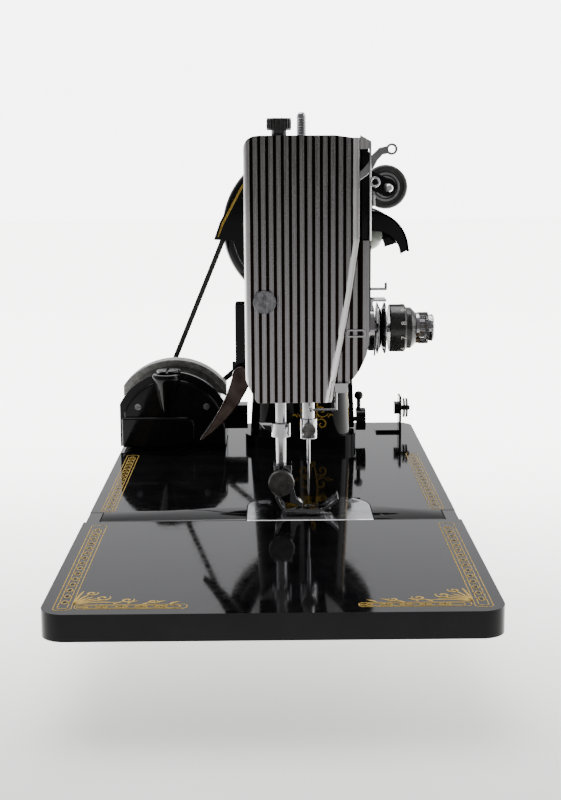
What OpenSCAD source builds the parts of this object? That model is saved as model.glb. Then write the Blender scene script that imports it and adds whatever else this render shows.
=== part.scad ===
// Portable lockstitch sewing machine with a folding bed leaf.
// X runs along the bed towards the handwheel, -Y is the operator's side, Z is up.
// Inside the modules X = 0 is the bed's needle end, Y = 0 its middle, Z = 0 its top.

/* [Bed] */
// Height of the bed's top above the table
base_h = 50; // [48:1:54]
// Width of the bed
bed_w = 178; // [174:1:184]
// Length of the fixed bed
bed_l = 243; // [240:1:246]
// Length of the folding leaf
leaf_l = 136; // [120:1:150]
// Height of the bed's overhanging rim
rim_h = 13; // [11:1:16]
// Depth of the leaf's apron
leaf_h = 11; // [9:1:13]

/* [Arm] */
// Height of the top of the head
head_top = 180; // [178:1:184]
// Height of the arm's underside
arm_under = 108; // [104:1:110]
// Height of the main shaft's centre
shaft_z = 126; // [125:1:127]
// Place of the shafts and the needle across the bed
axis_y = -17.6; // [-18:0.2:-17]
// Place of the presser bar across the bed
presser_y = -4.3; // [-4.6:0.1:-4]
// Place of the needle bar along the bed
bars_x = 17; // [16.8:0.1:17.2]
// Outer face of the faceplate
face_x = 8; // [7.6:0.1:8.2]

/* [Drive] */
// Radius of the handwheel's rim
wheel_r = 47.5; // [45:0.5:49]
// Radius of the handwheel's belt groove
wheel_groove_r = 39; // [37:0.5:41]
// Radius of the motor pulley's groove
motor_groove_r = 9; // [8:0.5:10]
// Plane of the drive belt along the bed
belt_x = 223; // [222.5:0.1:223.2]
// Place of the motor's shaft across the bed
motor_y = 58.5; // [57.5:0.5:58.5]
// Height of the motor's shaft
motor_z = 22; // [20:1:23]
// Radius of the needle crank
crank_r = 15; // [13:1:15]

/* [Hook] */
// Height of the hook's axis
hook_z = -24; // [-24.5:0.1:-23.5]
// Near face of the hook unit along the bed
hook_x = 18.4; // [18.2:0.1:19]
// Outer radius of the rotary hook
hook_r = 16; // [15.8:0.1:16.2]

/* [Hidden] */
$fn = 64;

// The clutch knob's outer end is the object's far end
far_x = bed_l + 2;
shift_x = (leaf_l - far_x) / 2;
// Running clearance between a shaft and its bore
run = 0.05;
// Place along the arm of the spool pin, the radii of its root and its stem, and the stem's ends
spool_x = 150;
spool_root_r = 1.8;
spool_r = 2.45;
spool_low = 178;
spool_high = 192;
// Gap between pieces that move past each other
gap = 0.4;
// Bed casting
bed_wall = 4;
base_inset = 9;
base_drop = 44;
corner_r = 10;
// Leaf hinge
hinge_x = 2.5;
hinge_z = -2.4;
lug_end = 16.6;
lug_h = 6;
lug_y0 = bed_w / 2 - 6.5;
lug_y1 = bed_w / 2 - 0.3;
hinge_pin_r = 1.5;
// Distance from the hinge's axis to the leaf's end, less the gap
leaf_swing_r = hinge_x + 0.25;
// Needle plate
plate_l = 47;
plate_y0 = -48;
plate_y1 = 12.2;
plate_t = 2;
plate_corner = 20;
// Head shell
shell_x = face_x + 3;
head_x1 = 58;
head_back = 12.3;
head_front = -47;
head_floor = 55.2;
// Lower back corner of the head, cut off by this much along Y and Z
head_chamfer = [5.3, 11];
// Grooves of the faceplate: the first one's place, their pitch, width and depth
groove_y = 9.4;
groove_pitch = 3.6;
groove_w = 1.5;
groove_d = 0.5;
// Wheel-end wall of the arm
arm_end = 216;
pillar_x0 = 165;
pillar_x1 = 213;
// Crank pin at rest, at the top of its stroke, and the needle bar's link below it
crank_pin_z = shaft_z + crank_r;
link_l = 34;
stud_z = crank_pin_z - link_l;
link_x = bars_x + 3.5;
// Upright shaft
upright_x = 180;
// Knuckle of the bobbin case's latch
latch_r = 0.65;
latch_x = hook_x - 0.15;
latch_y = axis_y + 7.35;
// Take-up lever pivot
take_y = -10.2;
take_z = 150;
take_x = shell_x + 0.4;
take_t = 1.8;
// Tension unit
tension_x = 30;
tension_z = 88;
// Presser lifter pivot
lift_y = 14;
lift_z = 66;
lift_x = 20;
// Lamp
lamp_x0 = 62;
lamp_x1 = 120;
lamp_y = -50;
lamp_z = 123.5;
lamp_r = 20;
bulb_y = lamp_y - 0.5;
bulb_z = lamp_z + 6;
bulb_r = 7;
// Bobbin winder
winder_y = -70.5;
winder_z = 151;
winder_r = 13.4;
winder_pivot_y = -50.5;
winder_pivot_z = 160;
// Stitch regulator
stitch_x = 190;
stitch_y = -52.5;
stitch_low = 12.5;
pillar_lean = atan(5 / 106);

// Puts a module's shape into the part's own frame
module on_bed() {
    translate([shift_x, 0, base_h]) children();
}

module rod_x(x0, x1, y, z, r) {
    translate([x0, y, z]) rotate([0, 90, 0]) cylinder(h = x1 - x0, r = r);
}

module rod_y(y0, y1, x, z, r) {
    translate([x, y1, z]) rotate([90, 0, 0]) cylinder(h = y1 - y0, r = r);
}

module rod_z(z0, z1, x, y, r) {
    translate([x, y, z0]) cylinder(h = z1 - z0, r = r);
}

module block(x, y, z) {
    translate([x[0], y[0], z[0]]) cube([x[1] - x[0], y[1] - y[0], z[1] - z[0]]);
}

// Extrudes a (Y, Z) outline along X
module slab_x(x0, x1) {
    translate([x0, 0, 0]) rotate([90, 0, 90]) linear_extrude(x1 - x0) children();
}

// Extrudes an (X, Z) outline along Y
module slab_y(y0, y1) {
    translate([0, y1, 0]) rotate([90, 0, 0]) linear_extrude(y1 - y0) children();
}

// Turns a (radius, distance) profile about a line along -Y
module turn_y(x, y, z) {
    translate([x, y, z]) rotate([90, 0, 0]) rotate_extrude() children();
}

// Turns a (radius, distance) profile about a line along +X
module turn_x(x, y, z) {
    translate([x, y, z]) rotate([0, 90, 0]) rotate_extrude() children();
}

// Rectangle with round corners from exact circles
module round_rect(u0, u1, v0, v1, r) {
    translate([u0 + r, v0]) square([u1 - u0 - 2 * r, v1 - v0]);
    translate([u0, v0 + r]) square([u1 - u0, v1 - v0 - 2 * r]);
    for (u = [u0 + r, u1 - r])
        for (v = [v0 + r, v1 - r])
            translate([u, v]) circle(r);
}

// Points along a quadratic curve
function bend(a, b, c, n = 8) =
    [for (i = [0 : n]) let (t = i / n) (1 - t) * (1 - t) * a + 2 * t * (1 - t) * b + t * t * c];

// Ring of flat-sided ridges, the grip on a turned knob
module grip(n, r, h, w) {
    for (i = [0 : n - 1])
        rotate([0, 0, i * 360 / n]) translate([r - w / 2, -w / 2, 0]) cube([w, w, h]);
}

// ---------------- Bed ----------------

// The bed's plan: square at the leaf, round corners at the wheel end
module bed_plan(inset) {
    half = bed_w / 2 - inset;
    x0 = inset == 0 ? 0 : inset - 3;
    x1 = bed_l - inset;
    r = max(corner_r - inset / 2, 3);
    translate([x0, -half]) square([x1 - x0 - r, 2 * half]);
    translate([x0, -half + r]) square([x1 - x0, 2 * half - 2 * r]);
    for (s = [-1, 1])
        translate([x1 - r, s * (half - r)]) circle(r);
}

// D-shaped plan of the needle plate, grown by a clearance
module plate_plan(grow) {
    u1 = plate_l + grow;
    v0 = plate_y0 - grow;
    v1 = plate_y1 + grow;
    translate([0, v0]) square([u1 - plate_corner, v1 - v0]);
    translate([0, v0 + plate_corner]) square([u1, v1 - v0 - 2 * plate_corner]);
    for (v = [v0 + plate_corner, v1 - plate_corner])
        translate([u1 - plate_corner, v]) circle(plate_corner);
}

// What the end of the bed and its plate lose, so that the leaf's end can turn past them
module leaf_swing_room() {
    difference() {
        block([-1, hinge_x], [-bed_w, bed_w], [hinge_z, 1]);
        rod_y(-bed_w - 1, bed_w + 1, hinge_x, hinge_z, leaf_swing_r);
    }
}

module bed() {
    color([0.02, 0.02, 0.02]) on_bed() {
        difference() {
            union() {
                translate([0, 0, -rim_h]) linear_extrude(rim_h) bed_plan(0);
                translate([0, 0, -base_drop]) linear_extrude(base_drop - 1) bed_plan(base_inset);
            }
            translate([0, 0, -base_drop - 1]) linear_extrude(base_drop + 1 - bed_wall)
                bed_plan(base_inset + bed_wall);
            // Seat of the needle plate and the space for the hook
            translate([0, 0, -plate_t - 0.1]) linear_extrude(plate_t + 1) plate_plan(0.3);
            block([-1, plate_l - 4], [plate_y0 + 4, plate_y1 - 4], [-40, 1]);
            // Notches for the leaf's lugs, and the holes of their pins
            for (s = [-1, 1]) {
                mirror([0, s < 0 ? 1 : 0, 0])
                    block([-1, lug_end + 0.8], [lug_y0 - 0.4, bed_w], [-rim_h - 1, 1]);
                mirror([0, s < 0 ? 1 : 0, 0])
                    rod_y(lug_y0 - 4, lug_y0, hinge_x, hinge_z, hinge_pin_r);
            }
            leaf_swing_room();
            // Bearing of the upright shaft
            rod_z(-10, 1, upright_x, axis_y, 4 + run);
        }
        // Post for the drip pan's screw
        difference() {
            rod_z(-34, -bed_wall + 0.5, 110, 30, 6);
            rod_z(-35, -12, 110, 30, 2.5);
        }
        // Bearing posts of the hook shaft
        for (x = [60, 140])
            difference() {
                block([x, x + 12], [axis_y - 9, axis_y + 9], [hook_z - 9, -bed_wall + 0.5]);
                rod_x(x - 1, x + 13, axis_y, hook_z, 4 + run);
            }
    }
}

module leaf_hinge_pins() {
    color("silver") on_bed()
        for (s = [-1, 1])
            mirror([0, s < 0 ? 1 : 0, 0]) rod_y(lug_y0 - 4, lug_y1 - 0.2, hinge_x, hinge_z, hinge_pin_r);
}

module leaf_plan(inset) {
    half = bed_w / 2 + 0.85 - inset;
    x0 = -leaf_l + inset;
    x1 = -0.3;
    r = corner_r - inset / 2;
    translate([x0 + r, -half]) square([x1 - x0 - r, 2 * half]);
    translate([x0, -half + r]) square([x1 - x0, 2 * half - 2 * r]);
    for (s = [-1, 1])
        translate([x0 + r, s * (half - r)]) circle(r);
}

module bed_leaf() {
    color([0.02, 0.02, 0.02]) on_bed()
        difference() {
            union() {
                translate([0, 0, -leaf_h]) linear_extrude(leaf_h) leaf_plan(0);
                for (s = [-1, 1])
                    mirror([0, s < 0 ? 1 : 0, 0])
                        block([-20, lug_end], [lug_y0, lug_y1], [-lug_h, 0]);
            }
            translate([0, 0, -leaf_h - 1]) linear_extrude(leaf_h + 1 - 3.5)
                intersection() {
                    leaf_plan(3.5);
                    translate([-leaf_l, -bed_w]) square([leaf_l - 4, 2 * bed_w]);
                }
            for (s = [-1, 1])
                mirror([0, s < 0 ? 1 : 0, 0])
                    rod_y(lug_y0 - 1, lug_y1 + 1, hinge_x, hinge_z, hinge_pin_r + run);
        }
}

module drip_pan() {
    color([0.03, 0.03, 0.03]) on_bed()
        difference() {
            union() {
                translate([0, 0, -base_drop - 2]) linear_extrude(2) bed_plan(base_inset + 1);
                translate([0, 0, -base_drop - 1]) linear_extrude(7) bed_plan(base_inset + bed_wall + 0.4);
            }
            translate([0, 0, -base_drop]) linear_extrude(8) bed_plan(base_inset + bed_wall + 2);
            rod_z(-base_drop - 3, -base_drop + 3, 110, 30, 2.8);
        }
}

module drip_pan_screw() {
    color("silver") on_bed() {
        rod_z(-base_drop - 4.5, -base_drop - 2, 110, 30, 7.5);
        rod_z(-base_drop - 2.2, -16, 110, 30, 2.45);
    }
}

module rubber_feet() {
    color([0.05, 0.05, 0.05]) on_bed()
        for (x = [26, 216])
            for (s = [-1, 1])
                rod_z(-base_h, -base_drop - 2, x, s * 62, 9);
}

// ---------------- Arm, head and pillar ----------------

// Outline of the head seen from the needle end
head_outline = concat(
    [[head_back, head_floor + head_chamfer[1]], [head_back, head_top - 8]],
    bend([head_back, head_top - 6], [head_back - 0.5, head_top], [5, head_top]),
    [[-30, head_top], [-42, head_top - 1.7], [-45, head_top - 5.5], [head_front, head_top - 9.5]],
    bend([head_front, 104], [head_front - 1, 72], [-27, head_floor]),
    [[head_back - head_chamfer[0], head_floor]]);

// Side view of the arm between the head and the wheel, over the pillar
arm_side = concat(
    [[head_x1 - 1, head_top]],
    bend([120, head_top - 1], [190, head_top - 6], [arm_end, head_top - 24]),
    [[arm_end, arm_under - 14], [pillar_x0, arm_under - 20]],
    bend([pillar_x0, arm_under - 20], [pillar_x0 - 3, arm_under], [pillar_x0 - 22, arm_under]),
    [[head_x1 + 20, arm_under]],
    bend([head_x1 + 20, arm_under], [head_x1 + 2, arm_under - 2], [head_x1 - 1, arm_under - 18]));

module pillar_plan(grow) {
    round_rect(pillar_x0 - grow, pillar_x1 + grow, -48 - grow, 14 + grow, 14 + grow);
}

module arm_casting() {
    color([0.02, 0.02, 0.02]) on_bed()
        difference() {
            union() {
                slab_x(shell_x, head_x1) polygon(head_outline);
                intersection() {
                    slab_y(-60, 20) polygon(arm_side);
                    slab_x(head_x1 - 2, arm_end) round_rect(-43, 8, 60, head_top, 16);
                }
                hull() {
                    translate([0, 0, 6]) linear_extrude(1) pillar_plan(-1);
                    translate([0, 0, arm_under + 4]) linear_extrude(1)
                        round_rect(pillar_x0 + 3, pillar_x1, -42, 7, 12);
                }
                linear_extrude(7) pillar_plan(2);
                // Hood over the belt at the wheel end
                slab_x(196, arm_end)
                    polygon([[0, 168], [10, 165], [18.3, 154], [30.5, 131], [34, 121],
                        [18, 120], [0, 112]]);
                // Boss of the presser lifter
                block([27, 45], [8, 17.4], [70, 100]);
                block([27, 31], [8, 19], [60, 72]);
                // Lug of the bobbin winder
                rod_x(196, 206, winder_pivot_y, winder_pivot_z, 6);
                block([196, 206], [winder_pivot_y, -40], [winder_pivot_z - 6, winder_pivot_z + 6]);
            }
            // Hollow head, round the needle bar's upper guide
            difference() {
                block([shell_x - 1, 46], [head_front + 4, head_back - 3.5],
                    [head_floor + 6, head_top - 5]);
                block([bars_x - 3, 47], [axis_y - 5, axis_y + 5], [158, 166]);
            }
            // Hollow arm and pillar
            rod_x(58, 190, axis_y, shaft_z, 16);
            rod_z(-1, shaft_z, upright_x, axis_y, 14.5);
            // Bores of the shaft bushings
            rod_x(45, 59, axis_y, shaft_z, 8);
            rod_x(189, arm_end + 1, axis_y, shaft_z, 8);
            // Bores of the needle bar, presser bar and pressure screw
            rod_z(50, 65, bars_x, axis_y, 2.9 + run);
            rod_z(157, 167, bars_x, axis_y, 2.9 + run);
            rod_z(50, 65, bars_x, presser_y, 2.5 + run);
            rod_z(170, 185, bars_x, presser_y, 3.5 + run);
            // Bore of the take-up lever's pin
            rod_x(44, 56, take_y, take_z, 2 + run);
            // Slot of the take-up lever
            block([shell_x - 1, shell_x + 3.8], [head_front - 3, -40.5], [129, 173]);
            // Notch and bore of the presser lifter
            block([lift_x - 0.6, lift_x + 6.4], [lift_y - 5.6, lift_y + 6], [50, 73]);
            rod_x(26, 32, lift_y, lift_z, 2.4 + run);
            // Bore of the stitch lever's pivot
            rod_y(-52, -39, stitch_x, stitch_low, 1.45 + run);
            // Bore of the tension stud
            rod_y(head_front - 1, head_front + 6, tension_x, tension_z, 2.2);
            // Bore of the winder's pivot
            rod_x(198, 207, winder_pivot_y, winder_pivot_z, 2.5 + run);
            // Hole of the spool pin
            rod_z(160, spool_low, spool_x, axis_y, spool_root_r);
            // Holes of the faceplate's screws
            rod_x(shell_x - 1, shell_x + 6, 3, 103.4, 2);
        }
}

// Ribbed cover plate that closes the head, a pan with turned sides
module faceplate() {
    color([0.75, 0.75, 0.77]) on_bed()
        difference() {
            slab_x(face_x, shell_x) polygon(head_outline);
            block([face_x + 1.5, shell_x + 1], [head_front + 4, head_back - 2],
                [head_floor + 8, head_top - 5]);
            block([face_x - 1, shell_x + 1], [head_front - 3, -40.5], [129, 173]);
            rod_x(face_x - 1, shell_x + 1, 3, 103.4, 2.2);
            // Grooves between the ribs
            for (i = [0 : 14])
                block([face_x - 1, face_x + groove_d],
                    [groove_y - i * groove_pitch - groove_w, groove_y - i * groove_pitch],
                    [head_floor - 1, head_top + 1]);
        }
}

module cover_screws() {
    color([0.55, 0.55, 0.55]) on_bed() {
        difference() {
            union() {
                rod_x(face_x - 2.3, face_x - 0.05, 3, 103.4, 5.4);
                rod_x(face_x - 0.5, shell_x + 5, 3, 103.4, 2);
            }
            block([face_x - 3, face_x - 1.5], [2.5, 3.5], [90, 115]);
        }
        for (v = [-40, 4])
            difference() {
                union() {
                    rod_z(-0.6, 0.1, 36, v, 3.2);
                    rod_z(-plate_t - 0.1, -0.5, 36, v, 1.6);
                }
                block([30, 42], [v - 0.4, v + 0.4], [-0.3, 1]);
            }
    }
}

module thread_guides() {
    color("silver") on_bed() {
        // Eye beside the take-up slot
        translate([face_x + 2.4, head_front - 1.6, 158.5]) rotate([0, 90, 0])
            rotate_extrude() translate([2, 0]) circle(0.5);
        // Hook above the tension discs
        rod_y(head_front - 9, head_front - 0.05, tension_x, 107, 0.7);
        rod_z(107, 110, tension_x, head_front - 8.6, 0.7);
        // Tab and wire under the faceplate
        block([face_x - 0.8, face_x - 0.05], [-36, -30], [60, 64.5]);
        rod_z(52, 60.5, face_x - 0.6, -30.5, 0.6);
        rod_y(-30.5, -18.5, face_x - 0.6, 52, 0.6);
        translate([face_x - 0.6, -18.5, 52]) sphere(1);
    }
}

module spool_pin() {
    color("silver") on_bed() {
        union() {
            rod_z(161, spool_low, spool_x, axis_y, spool_root_r);
            rod_z(spool_low, spool_high, spool_x, axis_y, spool_r);
            translate([spool_x, axis_y, spool_high]) sphere(spool_r);
        }
    }
}

// ---------------- Needle plate and feed ----------------

feed_rows = [bars_x - 5, bars_x, bars_x + 5];

module needle_plate() {
    color([0.8, 0.8, 0.82]) on_bed()
        difference() {
            translate([0, 0, -plate_t]) linear_extrude(plate_t) plate_plan(0);
            for (x = feed_rows)
                block([x - 1.4, x + 1.4], [axis_y + 3, axis_y + 16], [-3, 1]);
            for (x = [feed_rows[0], feed_rows[2]])
                block([x - 1.4, x + 1.4], [axis_y - 14, axis_y + 3.5], [-3, 1]);
            leaf_swing_room();
            rod_z(-3, 1, bars_x, axis_y, 1);
            for (v = [-40, 4]) {
                rod_z(-3, 1, 36, v, 1.7);
                rod_z(-0.6, 1, 36, v, 3.3);
            }
        }
}

module feed_dog() {
    color([0.7, 0.7, 0.7]) on_bed() {
        difference() {
            block([feed_rows[0] - 3, feed_rows[2] + 3.5], [axis_y - 14, axis_y + 15], [-5.2, -3]);
            // Slot that the needle passes through wherever the feed stands
            block([bars_x - 1.5, bars_x + 1.5], [axis_y - 3.6, axis_y + 3.6], [-6, -2]);
        }
        for (x = feed_rows) {
            y0 = x == bars_x ? axis_y + 6 : axis_y - 11;
            block([x - 0.9, x + 0.9], [y0, axis_y + 13], [-3.1, 0]);
            for (i = [0 : (axis_y + 13 - y0) / 1.5 - 1])
                slab_x(x - 0.9, x + 0.9)
                    polygon([[y0 + i * 1.5, -0.1], [y0 + i * 1.5 + 1.4, -0.1], [y0 + i * 1.5 + 1.2, 0.7]]);
        }
    }
}

module feed_fork() {
    color([0.5, 0.5, 0.5]) on_bed() {
        block([feed_rows[2] + 3.9, feed_rows[2] + 9], [axis_y - 11, axis_y + 12], [-6, -3]);
        block([feed_rows[2] + 8, feed_rows[2] + 18], [axis_y + 6, axis_y + 12], [-6, -3]);
    }
}

// ---------------- Hook and bobbin ----------------

module rotary_hook() {
    color([0.72, 0.72, 0.74]) on_bed()
        difference() {
            union() {
                rod_x(hook_x + 3, hook_x + 22, axis_y, hook_z, hook_r);
                rod_x(hook_x + 22, hook_x + 32, axis_y, hook_z, 8);
            }
            rod_x(hook_x + 2, hook_x + 19, axis_y, hook_z, hook_r - 1.6);
            rod_x(hook_x + 18, hook_x + 33, axis_y, hook_z, 4);
            // The gap ahead of the hook's point
            about_hook(30) block([hook_x, hook_x + 9], [axis_y + 10, axis_y + 20], [hook_z - 9, hook_z + 3]);
        }
}

module about_hook(angle) {
    translate([0, axis_y, hook_z]) rotate([angle, 0, 0]) translate([0, -axis_y, -hook_z]) children();
}

module bobbin_case_base() {
    color([0.6, 0.6, 0.62]) on_bed() {
        difference() {
            union() {
                rod_x(hook_x, hook_x + 18, axis_y, hook_z, hook_r - 2);
                rod_x(hook_x, hook_x + 2.6, axis_y, hook_z, hook_r + 0.4);
            }
            rod_x(hook_x - 1, hook_x + 16, axis_y, hook_z, 12);
        }
        rod_x(hook_x + 4.5, hook_x + 16.5, axis_y, hook_z, 2.6);
        block([hook_x, hook_x + 2.6], [axis_y + 13, plate_y1 - 4], [hook_z - 3, hook_z + 3]);
    }
}

module bobbin_case() {
    color([0.75, 0.75, 0.77]) on_bed()
        difference() {
            rod_x(hook_x + 0.8, hook_x + 15.6, axis_y, hook_z, 11.7);
            rod_x(hook_x + 2, hook_x + 16, axis_y, hook_z, 10.7);
            block([hook_x + 2.6, hook_x + 16], [axis_y - 3, axis_y + 3], [hook_z - 14, hook_z - 9]);
        }
}

module bobbin() {
    color([0.8, 0.8, 0.82]) on_bed()
        difference() {
            union() {
                rod_x(hook_x + 3.2, hook_x + 14.6, axis_y, hook_z, 4.4);
                rod_x(hook_x + 3.2, hook_x + 4.2, axis_y, hook_z, 10.2);
                rod_x(hook_x + 13.6, hook_x + 14.6, axis_y, hook_z, 10.2);
            }
            rod_x(hook_x + 2, hook_x + 16, axis_y, hook_z, 2.6 + run);
            for (i = [0 : 5])
                about_hook(i * 60) rod_x(hook_x + 2, hook_x + 5, axis_y + 7.4, hook_z, 1.4);
        }
}

module bobbin_latch() {
    color([0.85, 0.85, 0.85]) on_bed()
        union() {
            block([latch_x - latch_r, latch_x + latch_r], [axis_y - 9, latch_y], [hook_z - 7, hook_z]);
            rod_z(hook_z - 7, hook_z, latch_x, latch_y, latch_r);
        }
}

// ---------------- Shafts and gears ----------------

module main_shaft() {
    color([0.7, 0.7, 0.72]) on_bed()
        rod_x(link_x + 3.4, 238, axis_y, shaft_z, 4.75);
}

module arm_bushings() {
    color([0.65, 0.5, 0.25]) on_bed()
        for (x = [46, 200])
            difference() {
                rod_x(x, x + 12, axis_y, shaft_z, 8);
                rod_x(x - 1, x + 13, axis_y, shaft_z, 4.75 + run);
            }
}

// Bevel gear blank with cut teeth, apex at the origin, body on +Z
module bevel(d0, d1, slope, n) {
    difference() {
        rotate_extrude() polygon([[0, d0], [d0 * slope - gap, d0], [d1 * slope - gap, d1], [0, d1]]);
        for (i = [0 : n - 1])
            rotate([0, 0, i * 360 / n]) rotate([0, atan(slope), 0])
                translate([-1.2, -0.6, d0]) cube([3, 1.2, 3 * d1]);
    }
}

module main_bevel_gear() {
    color([0.6, 0.6, 0.6]) on_bed()
        difference() {
            translate([upright_x, axis_y, shaft_z]) rotate([0, -90, 0]) bevel(8, 13, 1, 16);
            rod_x(upright_x - 20, upright_x, axis_y, shaft_z, 4.75);
        }
}

module vertical_shaft() {
    color([0.7, 0.7, 0.72]) on_bed()
        rod_z(hook_z + 4.6, shaft_z - 7, upright_x, axis_y, 4);
}

module vertical_gears() {
    color([0.6, 0.6, 0.6]) on_bed() {
        difference() {
            translate([upright_x, axis_y, shaft_z]) rotate([180, 0, 0]) bevel(8, 13, 1, 16);
            rod_z(80, shaft_z, upright_x, axis_y, 4);
        }
        difference() {
            translate([upright_x, axis_y, hook_z]) bevel(5, 8, 2, 24);
            rod_z(hook_z, 0, upright_x, axis_y, 4);
        }
    }
}

module hook_shaft() {
    color([0.7, 0.7, 0.72]) on_bed()
        rod_x(hook_x + 19.4, upright_x - 9.5, axis_y, hook_z, 4);
}

module hook_gear() {
    color([0.6, 0.6, 0.6]) on_bed()
        difference() {
            translate([upright_x, axis_y, hook_z]) rotate([0, -90, 0]) bevel(10, 16, 0.5, 12);
            rod_x(upright_x - 20, upright_x, axis_y, hook_z, 4);
        }
}

// ---------------- Handwheel ----------------

wheel_profile = [[4.75, 0], [wheel_groove_r + 2.5, 0], [wheel_groove_r, 3.2], [wheel_groove_r, 5.8],
    [wheel_groove_r + 2.5, 9], [wheel_r - 4, 9], [wheel_r - 1, 10], [wheel_r, 13], [wheel_r, 17],
    [wheel_r - 1, 20], [wheel_r - 4, 21], [wheel_r - 9, 20], [wheel_r - 12, 16], [16, 14.5],
    [14, 18], [4.75, 18]];

module handwheel() {
    color([0.02, 0.02, 0.02]) on_bed()
        turn_x(belt_x - 4.5, axis_y, shaft_z) polygon(wheel_profile);
}

module clutch_knob() {
    color("silver") on_bed()
        difference() {
            translate([belt_x + 13.9, axis_y, shaft_z]) rotate([0, 90, 0])
                difference() {
                    union() {
                        cylinder(h = 2, r = 11);
                        translate([0, 0, 2]) cylinder(h = far_x - belt_x - 15.9, r1 = 13, r2 = 12);
                    }
                    grip(24, 13, 5.5, 1);
                }
            rod_x(belt_x, belt_x + 16, axis_y, shaft_z, 4.75 + run);
        }
}

module needle_crank() {
    color([0.6, 0.6, 0.62]) on_bed() {
        difference() {
            union() {
                rod_x(link_x + 3.4, link_x + 11, axis_y, shaft_z, 9);
                slab_x(link_x + 3.4, link_x + 9) translate([axis_y, shaft_z])
                    union() {
                        circle(12);
                        translate([-5, 0]) square([10, crank_r]);
                        translate([0, crank_r]) circle(5);
                        intersection() {
                            circle(19);
                            translate([-19, -19]) square([38, 15]);
                        }
                    }
            }
            rod_x(link_x + 2, link_x + 12, axis_y, shaft_z, 4.75);
        }
        rod_x(link_x, link_x + 3.6, axis_y, crank_pin_z, 3);
    }
}

module needle_link() {
    color([0.65, 0.65, 0.67]) on_bed()
        difference() {
            union() {
                rod_x(link_x, link_x + 2.9, axis_y, crank_pin_z, 5.5);
                rod_x(link_x, link_x + 2.9, axis_y, stud_z, 4.5);
                block([link_x, link_x + 2.9], [axis_y - 3.3, axis_y + 3.3], [stud_z, crank_pin_z]);
            }
            rod_x(link_x - 1, link_x + 4, axis_y, crank_pin_z, 3 + run);
            rod_x(link_x - 1, link_x + 4, axis_y, stud_z, 2.2);
        }
}

// ---------------- Needle bar ----------------

module needle_bar() {
    color([0.8, 0.8, 0.82]) on_bed() {
        rod_z(39, 173, bars_x, axis_y, 2.9);
        // Collar and stud that the link drives
        rod_z(stud_z - 5, stud_z + 5, bars_x, axis_y, 3.3);
    }
}

module needle_clamp() {
    color([0.82, 0.82, 0.84]) on_bed()
        difference() {
            union() {
                rod_z(36.5, 46, bars_x, axis_y, 4);
                rod_x(bars_x - 9, bars_x - 3, axis_y, 42.3, 2);
                rod_x(bars_x - 10.5, bars_x - 7, axis_y, 42.3, 3.1);
                rod_y(axis_y - 3, axis_y + 3, bars_x - 4.6, 38, 0.7);
            }
            rod_z(39, 47, bars_x, axis_y, 2.9);
            rod_z(35, 40, bars_x, axis_y, 0.9);
            block([bars_x - 11, bars_x - 10], [axis_y - 4, axis_y + 4], [42, 42.6]);
        }
}

module needle() {
    color([0.85, 0.85, 0.86]) on_bed() {
        rod_z(24, 39, bars_x, axis_y, 0.85);
        translate([bars_x, axis_y, 11]) cylinder(h = 13.2, r = 0.45);
        translate([bars_x, axis_y, 7.8]) cylinder(h = 3.3, r1 = 0.08, r2 = 0.45);
    }
}

take_up_end = [-56.5, 173.5];
take_up_path = concat([[take_y, take_z]], bend([-26, 157], [-44, 158], [-48.5, 169.5], 6),
    [[-51.5, 172.6], take_up_end]);

// Outline of a band of constant width along a path
function band(path, w) =
    let (last = len(path) - 1,
        side = [for (i = [0 : last])
            let (d = path[min(i + 1, last)] - path[max(i - 1, 0)]) w / 2 * [-d[1], d[0]] / norm(d)])
    concat([for (i = [0 : last]) path[i] + side[i]], [for (i = [last : -1 : 0]) path[i] - side[i]]);

// Lever plate: a curved arm from the pivot to the thread eye
module take_up_lever() {
    color([0.78, 0.78, 0.8]) on_bed()
        difference() {
            union() {
                rod_x(take_x, take_x + take_t, take_y, take_z, 5);
                rod_x(take_x, take_x + take_t, take_up_end[0], take_up_end[1], 2.7);
                slab_x(take_x, take_x + take_t) polygon(band(take_up_path, 3.6));
                rod_x(take_x, 55, take_y, take_z, 2);
            }
            rod_x(take_x - 1, take_x + 4, take_up_end[0], take_up_end[1], 1.6);
        }
}

// ---------------- Presser bar ----------------

module presser_bar() {
    color([0.8, 0.8, 0.82]) on_bed() {
        rod_z(20, 166, bars_x, presser_y, 2.5);
        rod_z(116, 122, bars_x, presser_y, 3.3);
    }
}

module presser_foot() {
    foot_y = axis_y;
    color([0.85, 0.85, 0.87]) on_bed() {
        difference() {
            union() {
                block([bars_x - 5, bars_x + 5], [presser_y - 5, presser_y + 3.5], [10, 24]);
                slab_x(bars_x - 2.5, bars_x + 2.5)
                    polygon([[presser_y - 4.5, 18], [presser_y - 4.5, 10], [foot_y + 9, 5], [foot_y + 3, 2.8],
                        [foot_y + 3, 4.6], [foot_y + 6, 7]]);
            }
            rod_z(19.9, 26, bars_x, presser_y, 2.5);
            block([bars_x - 6, bars_x - 2], [presser_y - 1, presser_y + 1], [12, 25]);
        }
        difference() {
            slab_x(bars_x - 6.5, bars_x + 6.5)
                polygon(concat(bend([-1.2, 8.7], [-4, 1.2], [-6.5, 1.2], 4),
                    bend([-22, 1.2], [-27, 1.4], [-32, 7.4], 4),
                    bend([-31.4, 8.4], [-26.5, 2.8], [-21.5, 2.7], 4),
                    bend([-7, 2.7], [-4.4, 2.8], [-2.6, 9.4], 4)));
            block([bars_x - 1, bars_x + 1], [-34, axis_y - 2.5], [0, 10]);
            rod_z(0, 10, bars_x, axis_y, 2);
        }
    }
}

module presser_foot_screw() {
    color([0.05, 0.05, 0.05]) on_bed() {
        rod_x(bars_x - 11, bars_x - 7, presser_y, 16.3, 6.1);
        rod_x(bars_x - 8, bars_x - 5.05, presser_y, 16.3, 3.2);
    }
}

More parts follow.
